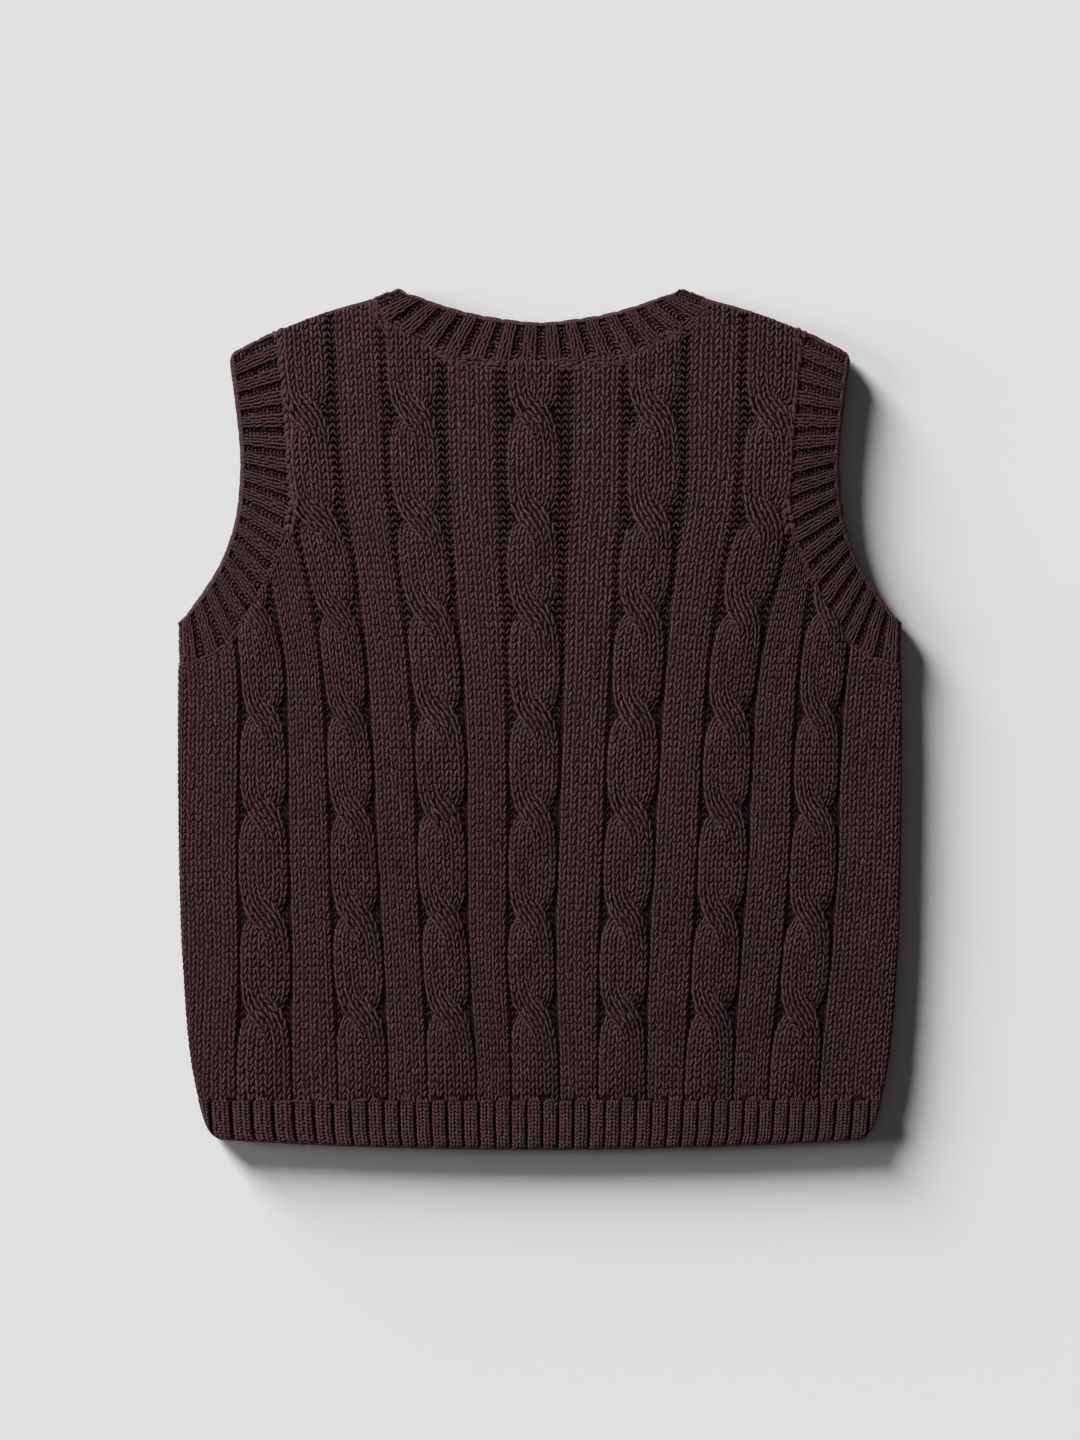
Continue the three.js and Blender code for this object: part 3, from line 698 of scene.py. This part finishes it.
def even_line(table, sign, count, trim):
    """Points at even steps down half a table's line, less the trimmed ends."""
    share = np.linspace(0, len(table["x"]) - 1, 241)
    knots = {"n": range(len(table["x"])), "x": table["x"], "y": table["y"]}
    x = smooth(knots, "n", "x", share) * sign
    y = smooth(knots, "n", "y", share)
    at = np.concatenate(((0,), np.cumsum(np.hypot(np.diff(x), np.diff(y)))))
    want = np.linspace(trim, at[-1] - trim, count)
    return np.column_stack((np.interp(want, at, x), np.interp(want, at, y)))


def whole_line(table):
    """A half table mirrored, so that it runs from the far left to the far right."""
    left = {
        "x": tuple(-x for x in table["x"][:0:-1]) + tuple(table["x"]),
        "y": tuple(table["y"][:0:-1]) + tuple(table["y"]),
    }
    return left


def fold_run(seam, edge, inner, rising, drawn):
    """Where a band folds over; its free corner there is drawn in, which rounds it."""
    square = np.array((-(edge - seam)[1], (edge - seam)[0]))
    square = square / np.linalg.norm(square)
    if np.dot((seam + edge) / 2 - inner, square) < 0:
        square = -square
    rows = []
    for share, part in ((0.2, 0.3), (0.4, 1), (0.6, 1), (0.8, 0.3)):
        turn = (0.5 - share) * math.pi * (-1 if rising else 1)
        out = (square[0] * math.cos(turn), square[1] * math.cos(turn), math.sin(turn))
        rows.append((seam, mix(edge, seam, drawn * part), out))
    return rows


UP = (0, 0, 1)
DOWN = (0, 0, -1)


def armhole_ring(sign):
    seam = even_line(ARMHOLE_SEAM, sign, 49, FOLD_MIDDLE)
    edge = even_line(ARMHOLE_EDGE, sign, 49, FOLD_MIDDLE)
    inner = np.array((sign * 110, 90))
    return Ring(
        (
            [(s, e, UP) for s, e in zip(seam, edge)],
            fold_run(seam[-1], edge[-1], inner, False, 0.05),
            [(s, e, DOWN) for s, e in zip(seam[::-1], edge[::-1])],
            fold_run(seam[0], edge[0], inner, True, 0.05),
        )
    )


def neck_ring():
    seam = even_line(whole_line(NECK_SEAM), 1, 61, FOLD_MIDDLE)
    edge = even_line(whole_line(NECK_EDGE), 1, 61, FOLD_MIDDLE)
    inner = np.array((0, 100))
    front = []
    for share in np.linspace(1, -1, 61):
        last = -1 if share > 0 else 0
        far = abs(share)
        dip = 2.5 * math.sin(math.pi * far)
        seam_x = seam[last][0] * far
        seam_y = mix(V_SEAM_Y, seam[last][1], far) - dip
        edge_y = mix(V_EDGE_Y, edge[last][1], far) - dip
        row_seam = np.array((seam_x, seam_y))
        row_edge = np.array((edge[last][0] * far, edge_y))
        front.append((row_seam, row_edge, DOWN))
    return Ring(
        (
            [(s, e, UP) for s, e in zip(seam, edge)],
            fold_run(seam[-1], edge[-1], inner, False, 0.1),
            front,
            fold_run(seam[0], edge[0], inner, True, 0.1),
        )
    )


def band_wall(share, w, ridge):
    """A band's wall: share is 0 on a rib's crown and 1 in the valley's middle."""
    away = np.abs(share)
    fall = np.clip((away - ridge + 0.1) / 0.24, 0, 1)
    fall = fall**2 * (3 - 2 * fall)
    deep = (BAND_CROWN - BAND_TROUGH) * np.clip((1 - w) / 0.1, 0, 1)
    dome = 0.3 * np.clip(away / ridge, 0, 1) ** 2
    end = np.clip((w - 0.86) / 0.14, 0, 1.3)
    start = np.clip((0.1 - w) / 0.1, 0, 1)
    return BAND_CROWN - deep * fall - dome - 1.9 * end**2.2 - 0.5 * start


def rib_share(t):
    return (np.mod(t, 1) - 0.5) * 2


def knit_band(ring, ribs, courses, ridge, bag):
    pitch = ring.length / ribs
    rib, course = grid(np.arange(ribs), np.arange(courses) + 0.5)

    def place(t, q, h):
        w = mix(-0.03, 0.95, q / courses)
        x, y, z = ring.place(t * pitch, w, 0.15 + band_wall(rib_share(t), w, ridge) + h)
        return x, y, np.maximum(z, FLOOR_CLEAR)

    for line, lean in ((-3, -1), (-1, 1), (1, -1), (3, 1)):
        middle = rib + 0.5 + line * ridge / 8
        start = (middle - lean * 0.02, course - 0.9)
        end = (middle + lean * 0.02, course + 0.95)
        bag.add(place, start, end, ridge * 0.095, 0.5, loose=0.5)
    near = (1 + ridge) / 2 + 0.02
    for start, end in ((near, 1.0), (2 - near, 1.0)):
        low = (rib + start, course - 0.35)
        high = (rib + end, course + 0.35)
        bag.add(place, low, high, (0.0, 0.34), 0.45, loose=0.7)


RIM_ROWS = ({"w": 0.94, "wall": 2.9}, {"w": 0.98, "wall": 2.0}, {"w": 0.985, "wall": 1.0})


def knit_rim(ring, ribs, ridge, bag):
    """The rolled edge, in rows that run along a band's free side."""
    count = int(ring.length / 2.1)
    pitch = ring.length / count
    for row in RIM_ROWS:

        def place(t, q, h, row=row):
            share = rib_share(q * pitch / ring.length * ribs)
            inward = np.clip(np.abs(share) - ridge, 0, 1)
            w = row["w"] - 0.06 * inward + t * 0.035
            x, y, z = ring.place(q * pitch, w, 0.15 + row["wall"] - inward + h)
            return x, y, np.maximum(z, FLOOR_CLEAR)

        at = np.arange(count) + 0.5
        bag.add(place, (0 * at, at - 0.9), (0 * at, at + 0.9), (1.0, 0.0), 0.5, loose=0.4)


def knit_seam(ring, bag, rows):
    """Stitches that run along a band's seam, on the panels beside it."""
    for row in rows:
        count = int(ring.length / row["pitch"])
        pitch = ring.length / count

        def place(t, q, h, row=row, pitch=pitch):
            w = row["w"] - t * row["wide"]
            x, y, z = ring.place(q * pitch, w, BAND_LIFT + row["wall"] + h)
            return x, y, np.maximum(z, FLOOR_CLEAR)

        def shows(x, y, row=row):
            return (y.mean(1) > row["above"]) & (y.mean(1) < row["below"])

        course = np.arange(count) + 0.5
        bag.vees(place, 0 * course, course, 0.24, keep=shows, loose=row["loose"])


def knit_shoulders(panel, bag):
    """The folded edge of the shoulders."""
    for side in (-1, 1):

        def place(t, q, h, side=side):
            x = side * q
            y = panel.top(x) - 0.5 + t * 1.1
            return x, y, lay(panel, x, y, 2.6 - 1.1 * np.clip(t, 0, 1), h)

        across = np.arange(64.8, 104.6, 1.4)
        for row in (-0.7, 0.2):
            start = (0 * across + row, across - 1.2)
            end = (0 * across + row, across + 1.2)
            bag.add(place, start, end, (0.55, 0.0), 0.6, loose=0.7)


# The ground cloth behind the stitches, coloured in painted shade: closed, thin walls


def cloth(name, columns, rows, at, material, floor):
    """A grid of cloth moved into place, closed by a flat inner face where it has a rim."""
    work = bmesh.new()
    bmesh.ops.create_grid(work, x_segments=columns, y_segments=rows, size=1)
    # lit holds each point's painted light: where it is low, the material paints the ground in shade.
    painted_light_layer = work.verts.layers.float.new("lit")
    co = np.array([v.co for v in work.verts])
    x, y, z, lit, out = np.broadcast_arrays(*at((co[:, 0] + 1) / 2, (co[:, 1] + 1) / 2))
    for vert, a, b, c, light in zip(work.verts, x, y, z, lit):
        vert.co = (a * MM, b * MM, c * MM)
        vert[painted_light_layer] = light
    work.verts.ensure_lookup_table()
    beyond = [face for face in work.faces if all(out[v.index] for v in face.verts)]
    bmesh.ops.delete(work, geom=beyond, context="FACES")
    bmesh.ops.remove_doubles(work, verts=work.verts[:], dist=0.2 * MM)
    bmesh.ops.dissolve_degenerate(work, edges=work.edges[:], dist=0.05 * MM)
    if any(e.is_boundary for e in work.edges):
        grown = bmesh.ops.extrude_face_region(work, geom=work.faces[:], use_keep_orig=True)
        for vert in grown["geom"]:
            if isinstance(vert, bmesh.types.BMVert):
                vert.co.z = floor * MM
    bmesh.ops.recalc_face_normals(work, faces=work.faces[:])
    uv = work.loops.layers.uv.new("cloth")
    for face in work.faces:
        face.smooth = True
        for loop in face.loops:
            loop[uv].uv = (loop.vert.co.x / MM / 100, loop.vert.co.y / MM / 100)
    data = bpy.data.meshes.new(name)
    work.to_mesh(data)
    work.free()
    data.materials.append(material)
    return shown(name, data)



def ground_columns():
    """Lines across the ground: a kind, which one, and the share across it."""
    lines = []
    for cable in range(7):
        if cable == 0:
            lines.extend(("side", -1, share) for share in (1.0, 0.94, 0.86, 0.6, 0.3, 0.02))
        lines.append(("gutter", (cable, -1), 0.7))
        lines.append(("gutter", (cable, -1), 0.2))
        lines.extend(("cable", cable, share) for share in (-0.93, -0.7, -0.35, 0, 0.35, 0.7, 0.93))
        lines.append(("gutter", (cable, 1), 0.2))
        lines.append(("gutter", (cable, 1), 0.7))
        if cable < 6:
            lines.extend(("strip", cable, share) for share in (-0.93, 0, 0.93))
        else:
            lines.extend(("side", 1, share) for share in (0.02, 0.3, 0.6, 0.86, 0.94, 1.0))
    return lines


def ground_line(kind, which, share, y):
    """A line's x and wall at each height, and how light it is painted: gutters and a cable's edges near
    a crossing get painted shade.
    """
    if kind == "side":
        start = np.abs(side_start(which, y))
        half = np.where(y > 21.6, 141.3, body_half(y)) - 0.5
        x = which * mix(start, half, share)
        return x, np.full(y.shape, {1.0: 0.3, 0.94: 2.4}.get(share, PLAIN_WALL)) - GROUND, 1
    if kind == "strip":
        left, right = strip_edges(which, y)
        x = (left + right) / 2 + share * (right - left) / 2
        return x, np.full(y.shape, PLAIN_WALL - GROUND), 1
    if kind == "cable":
        edge = np.where(share < 0, cable_edge(which, -1, y), cable_edge(which, 1, y))
        middle = cable_middle(which, y)
        x = middle + np.abs(share) * (edge - middle)
        up = y - crossing_near(y)
        near = np.exp(-((up / 5) ** 2))
        wall = mix(CABLE_CROWN, CABLE_SHOULDER, share**2) - GROUND - 0.2
        return x, wall - near * (1.2 + 1.2 * share**2), 1 - 0.8 * near * share**2
    cable, side = which
    inner, outer = gutter_edges(cable, side, y)
    x = mix(inner, outer, share)
    room = gutter_room(cable, y)
    # Gutters are painted near-black in shade, a little less where they are wide.
    return x, GUTTER_WALL - 0.5 + 0.5 * room, 0.1 * room


def ground(panel, material):
    lines = ground_columns()
    rows = 110

    def at(u, v):
        column = np.rint(u * (len(lines) - 1)).astype(int)
        y = mix(HEM_TOP - 1.0, TOP_Y, v)
        x = np.zeros(len(y))
        wall = np.zeros(len(y))
        lit = np.zeros(len(y))
        for k, (kind, which, share) in enumerate(lines):
            mine = column == k
            x[mine], wall[mine], lit[mine] = ground_line(kind, which, share, y[mine])
        edge = (column == 0) | (column == len(lines) - 1)
        full = y
        for _ in range(5):
            limit = side_limit(y) - 0.4
            x = np.clip(x, -limit, limit)
            x = np.where(edge, np.sign(x) * limit, x)
            y = np.minimum(y, panel.top(x) - 0.4)
        wall = np.minimum(wall, mix(1.6, 4.7, np.clip((y - HEM_TOP) / 14, 0, 1)))
        wall = np.where(np.abs(x) > side_limit(y) - 0.41, 1.6, wall)
        z = lay(panel, x, y, np.clip(wall, 0.3, None), 0)
        z = np.maximum(z, floor + 0.25) if panel.up else np.minimum(z, floor - 0.25)
        return x, y, z, lit, y < full - 0.001

    floor = BACK_FLOOR if panel.up else FRONT_FLOOR
    return cloth(f"{panel.name}_ground", len(lines) - 1, rows, at, material, floor)


def band_ground(name, ring, ribs, ridge, material):
    """A closed ribbed ring, with its seam, edge and inner side."""
    across = {
        "w": (0.0, 0.1, 0.5, 0.88, 0.97, 0.97, 0.5, 0.0),
        "rise": (0.5, 1.0, 1.0, 1.0, 0.4, 0.0, 0.0, 0.0),
    }
    around = len(across["w"])
    steps = ribs * 8
    outer = np.array(across["w"])
    rise = np.array(across["rise"])

    def at(u, v):
        number = np.rint(u * steps) / 8
        k = np.mod(np.rint(v * around).astype(int), around)
        share = rib_share(number)
        w = outer[k]
        wall = np.clip(band_wall(share, np.clip(w, 0.1, 0.86), ridge) - GROUND, 0.4, None)
        w = w - 0.06 * np.clip(np.abs(share) - ridge, 0, 1) * (w > 0.8)
        x, y, z = ring.place(number * ring.length / ribs, w, BAND_LIFT + wall * rise[k])
        # The band's valleys are painted in shade, down to 0.35 of the ridges' painted light.
        lit = np.clip((ridge + 0.2 - np.abs(share)) / 0.2, 0.35, 1)
        return x, y, np.maximum(z, FLOOR_CLEAR), lit, False

    return cloth(name, steps, around, at, material, 0)


# Materials


def make_group(name, inputs, outputs):
    group = bpy.data.node_groups.new(name, "ShaderNodeTree")
    for label, kind in inputs:
        group.interface.new_socket(label, in_out="INPUT", socket_type=kind)
    for label, kind in outputs:
        group.interface.new_socket(label, in_out="OUTPUT", socket_type=kind)
    source = group.nodes.new("NodeGroupInput")
    sink = group.nodes.new("NodeGroupOutput")
    return group, source, sink


def node(tree, kind, inputs=None, **settings):
    made = tree.nodes.new(kind)
    for label, value in settings.items():
        setattr(made, label, value)
    for label, value in (inputs or {}).items():
        if isinstance(value, bpy.types.NodeSocket):
            tree.links.new(value, made.inputs[label])
        else:
            made.inputs[label].default_value = value
    return made


def maths(tree, operation, a, b=0.0):
    return node(tree, "ShaderNodeMath", {0: a, 1: b}, operation=operation).outputs[0]


def yarn_group():
    """Plied cotton yarn: its twist, loose fibres, and dyed colour that is never quite even. The twist
    also paints shade into the grooves between plies, and the tone input carries painted shade on the
    ground cloth.
    """
    group, source, sink = make_group(
        "plied yarn",
        (
            ("Along", "NodeSocketVector"),
            ("Place", "NodeSocketVector"),
            ("Tone", "NodeSocketFloat"),
            ("Colour", "NodeSocketColor"),
            ("Dark", "NodeSocketColor"),
            ("Plies", "NodeSocketFloat"),
        ),
        (("Colour", "NodeSocketColor"), ("Height", "NodeSocketFloat"), ("Rough", "NodeSocketFloat")),
    )
    get = source.outputs
    parts = node(group, "ShaderNodeSeparateXYZ", {0: get["Along"]})
    turns = maths(group, "MULTIPLY", parts.outputs[0], get["Plies"])
    swing = maths(group, "MULTIPLY", parts.outputs[1], 2.2)
    twist = maths(group, "SINE", maths(group, "ADD", turns, swing))
    fibres = node(group, "ShaderNodeTexNoise", {"Vector": get["Place"], "Scale": 2600.0, "Detail": 3.0})
    dye = node(group, "ShaderNodeTexNoise", {"Vector": get["Place"], "Scale": 60.0, "Detail": 2.0})
    ply = maths(group, "MULTIPLY", twist, 0.5)
    height = maths(group, "ADD", ply, fibres.outputs[0])
    shade = maths(group, "MULTIPLY", get["Tone"], 0.14)
    # The ply twist paints shade into the grooves between plies and light on their crests.
    shade = maths(group, "ADD", shade, maths(group, "MULTIPLY", twist, 0.10))
    shade = maths(group, "ADD", shade, maths(group, "MULTIPLY", fibres.outputs[0], 0.55))
    shade = maths(group, "ADD", shade, maths(group, "MULTIPLY", dye.outputs[0], 0.4))
    blend = node(
        group,
        "ShaderNodeMix",
        {"Factor": shade, "A": get["Dark"], "B": get["Colour"]},
        data_type="RGBA",
    )
    blend.clamp_factor = True
    group.links.new(mix_output(blend), sink.inputs["Colour"])
    group.links.new(height, sink.inputs["Height"])
    rough = maths(group, "ADD", maths(group, "MULTIPLY", fibres.outputs[0], 0.15), 0.8)
    group.links.new(rough, sink.inputs["Rough"])
    return group


def mix_output(blend):
    return [s for s in blend.outputs if s.type == "RGBA"][0]


def cloth_material(name, group, colour, dark, plies, bump, attribute, sheen):
    material = bpy.data.materials.new(name)
    material.use_nodes = True
    tree = material.node_tree
    shader = tree.nodes["Principled BSDF"]
    place = node(tree, "ShaderNodeTexCoord").outputs["Object"]
    made = node(
        tree,
        "ShaderNodeGroup",
        node_tree=group,
    )
    if attribute == "yarn":
        yarn = node(tree, "ShaderNodeAttribute", attribute_name="yarn")
        tree.links.new(yarn.outputs["Vector"], made.inputs["Along"])
        parts = node(tree, "ShaderNodeSeparateXYZ", {0: yarn.outputs["Vector"]})
        tree.links.new(parts.outputs[2], made.inputs["Tone"])
    else:
        # On the ground cloth the lit attribute paints shade: low lit mixes its colour towards the dark,
        # painted shade.
        lit = node(tree, "ShaderNodeAttribute", attribute_name="lit")
        tone = maths(tree, "MULTIPLY", maths(tree, "SUBTRACT", lit.outputs["Fac"], 0.5), 9)
        tree.links.new(tone, made.inputs["Tone"])
    tree.links.new(place, made.inputs["Place"])
    made.inputs["Colour"].default_value = colour
    made.inputs["Dark"].default_value = dark
    made.inputs["Plies"].default_value = plies
    rough = node(
        tree,
        "ShaderNodeBump",
        {"Height": made.outputs["Height"], "Strength": bump, "Distance": 0.0002},
    )
    tree.links.new(made.outputs["Colour"], shader.inputs["Base Color"])
    tree.links.new(made.outputs["Rough"], shader.inputs["Roughness"])
    tree.links.new(rough.outputs[0], shader.inputs["Normal"])
    shader.inputs["Specular IOR Level"].default_value = 3 * sheen
    shader.inputs["Sheen Weight"].default_value = sheen
    shader.inputs["Sheen Roughness"].default_value = 0.6
    shader.inputs["Sheen Tint"].default_value = (0.8, 0.45, 0.47, 1)
    return material


# The surroundings


def add_floor():
    work = bmesh.new()
    bmesh.ops.create_grid(work, x_segments=1, y_segments=1, size=6)
    data = bpy.data.meshes.new("pale_floor")
    work.to_mesh(data)
    work.free()
    floor = bpy.data.objects.new("pale_floor", data)
    bpy.context.scene.collection.objects.link(floor)
    material = bpy.data.materials.new("pale paper")
    material.use_nodes = True
    shader = material.node_tree.nodes["Principled BSDF"]
    shader.inputs["Base Color"].default_value = (0.8, 0.8, 0.8, 1)
    shader.inputs["Roughness"].default_value = 1
    shader.inputs["Specular IOR Level"].default_value = 0
    data.materials.append(material)
    return floor


def add_camera():
    lens = 150
    film = 36
    picture_height = 0.5616
    data = bpy.data.cameras.new("camera")
    data.lens = lens
    data.sensor_width = film
    data.clip_end = 20
    camera = bpy.data.objects.new("camera", data)
    camera.location = (0, 0, picture_height * lens / film + 0.005)
    bpy.context.scene.collection.objects.link(camera)
    bpy.context.scene.camera = camera


def add_sun(name, height, turn, spread, energy, lit):
    """A broad, far lamp that lights one group. Turn 0 is the upper left of the picture."""
    data = bpy.data.lights.new(name, "SUN")
    data.energy = energy
    data.angle = math.radians(spread)
    lamp = bpy.data.objects.new(name, data)
    lamp.rotation_euler = (math.radians(90 - height), 0, math.radians(turn - 135))
    lamp.light_linking.receiver_collection = lit
    bpy.context.scene.collection.objects.link(lamp)


def add_window(lit):
    """A large soft lamp to the upper left, near enough to light that side a little more."""
    height = math.radians(36)
    away = 1.6
    data = bpy.data.lights.new("window", "AREA")
    data.shape = "DISK"
    data.size = 1.1
    data.energy = 33
    lamp = bpy.data.objects.new("window", data)
    flat = away * math.cos(height) / math.sqrt(2)
    lamp.location = (-flat, flat, away * math.sin(height))
    lamp.rotation_euler = (math.pi / 2 - height, 0, math.radians(-135))
    lamp.light_linking.receiver_collection = lit
    bpy.context.scene.collection.objects.link(lamp)


def add_light(floor, cloths):
    floor_only = bpy.data.collections.new("floor only")
    floor_only.objects.link(floor)
    vest_only = bpy.data.collections.new("vest only")
    for piece in cloths:
        vest_only.objects.link(piece)
    add_sun("low window", height=11.2, turn=-4, spread=22, energy=12.2, lit=floor_only)
    add_sun("far end of the window", height=10, turn=38, spread=20, energy=2.4, lit=floor_only)
    add_window(vest_only)
    add_sun("ceiling", height=80, turn=0, spread=110, energy=0.4, lit=vest_only)
    world = bpy.data.worlds.new("studio")
    world.use_nodes = True
    world.node_tree.nodes["Background"].inputs["Color"].default_value = (1, 1, 1, 1)
    world.node_tree.nodes["Background"].inputs["Strength"].default_value = 0.05
    bpy.context.scene.world = world
    bpy.context.scene.view_settings.view_transform = "Standard"


# The vest


def panel_pieces(panel, yarn, rib_yarn, shade):
    parts = (
        ("strips", knit_strips, "knit", yarn),
        ("cables", knit_cables, "knit", yarn),
        ("sides", knit_sides, "knit", yarn),
        ("gutters", purl_gutters, "knit", yarn),
        ("shoulders", knit_shoulders, "knit", yarn),
        ("hem", knit_hem, "rib", rib_yarn),
    )
    made = []
    for label, knit, slot, material in parts:
        bag = Stitches(panel.within)
        knit(panel, bag)
        piece = bag.mesh(f"{panel.name}_{label}", material)
        made.append(piece)
    made.append(hem_ground(panel, shade))
    return made


ARMHOLE_SEAM_ROWS = (
    {"w": -0.11, "wide": 0.24, "wall": 3.5, "pitch": 2.8, "loose": 1.2, "above": 74, "below": 200},
    {"w": -0.04, "wide": 0.12, "wall": 3.0, "pitch": 1.9, "loose": 1.8, "above": 0, "below": 76},
)
NECK_SEAM_ROWS = (
    {"w": 0.03, "wide": 0.16, "wall": 3.0, "pitch": 2.0, "loose": 3.0, "above": 0, "below": 200},
    {"w": -0.09, "wide": 0.16, "wall": 3.2, "pitch": 2.2, "loose": 3.0, "above": 0, "below": 200},
    {"w": -0.2, "wide": 0.16, "wall": 3.0, "pitch": 2.4, "loose": 3.0, "above": 0, "below": 200},
)


def band_pieces(
    node_name, ring, back_ribs, courses, ridge, seam_rows, yarn, shade
):
    ribs = round(ring.length / (ring.ends[1] / back_ribs))
    base = band_ground(f"{node_name}_ground", ring, ribs, ridge, shade)
    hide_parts(node_name)
    bag = Stitches()
    knit_band(ring, ribs, courses, ridge, bag)
    knit_rim(ring, ribs, ridge, bag)
    ribbing = bag.mesh(f"{node_name}_ribs", yarn)
    bag = Stitches()
    knit_seam(ring, bag, seam_rows)
    seam = bag.mesh(f"{node_name}_seam", yarn)


def build():
    group = yarn_group()
    plum = (0.129, 0.064, 0.066, 1)
    # The bands' yarn is the same plum painted in shade, about a quarter darker than the body's.
    band_plum_painted_darker = (0.099, 0.048, 0.050, 1)
    plum_dark = (0.051, 0.024, 0.026, 1)
    # The yarn behind the stitches is painted in shade: far darker than the plum yarn, to stand for the
    # shade between stitches. deep is the painted near-black shade of the gutters and the ribs' valleys.
    ground_painted_shade = (0.034, 0.015, 0.017, 1)
    deep = (0.010, 0.005, 0.006, 1)
    yarn = cloth_material("plum knit yarn", group, plum, plum_dark, 9, 0.5, "yarn", 0.06)
    rib_yarn = cloth_material("plum rib yarn", group, plum, plum_dark, 7, 0.5, "yarn", 0.06)
    band_yarn_painted_darker = cloth_material("plum band yarn", group, band_plum_painted_darker, plum_dark, 7, 0.5, "yarn", 0.05)
    shade = cloth_material("yarn behind the stitches", group, ground_painted_shade, deep, 0, 0.4, "lit", 0.005)

    back = ground(BACK, shade)
    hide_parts("back_panel")
    back_parts = panel_pieces(BACK, yarn, rib_yarn, shade)

    front = ground(FRONT, shade)
    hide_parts("front_panel")
    front_parts = panel_pieces(FRONT, yarn, rib_yarn, shade)

    band_pieces(
        "neckband", neck_ring(), NECK_RIBS, NECK_COURSES,
        NECK_RIDGE, NECK_SEAM_ROWS, band_yarn_painted_darker, shade,
    )
    for label, sign in (("left", -1), ("right", 1)):
        band_pieces(
            f"armhole_band_{label}", armhole_ring(sign), ARMHOLE_RIBS, ARMHOLE_COURSES,
            ARMHOLE_RIDGE, ARMHOLE_SEAM_ROWS, band_yarn_painted_darker, shade,
        )


add_camera()
floor = add_floor()
build()
add_light(floor, [piece for piece in bpy.data.objects if piece.type == "MESH" and piece != floor])
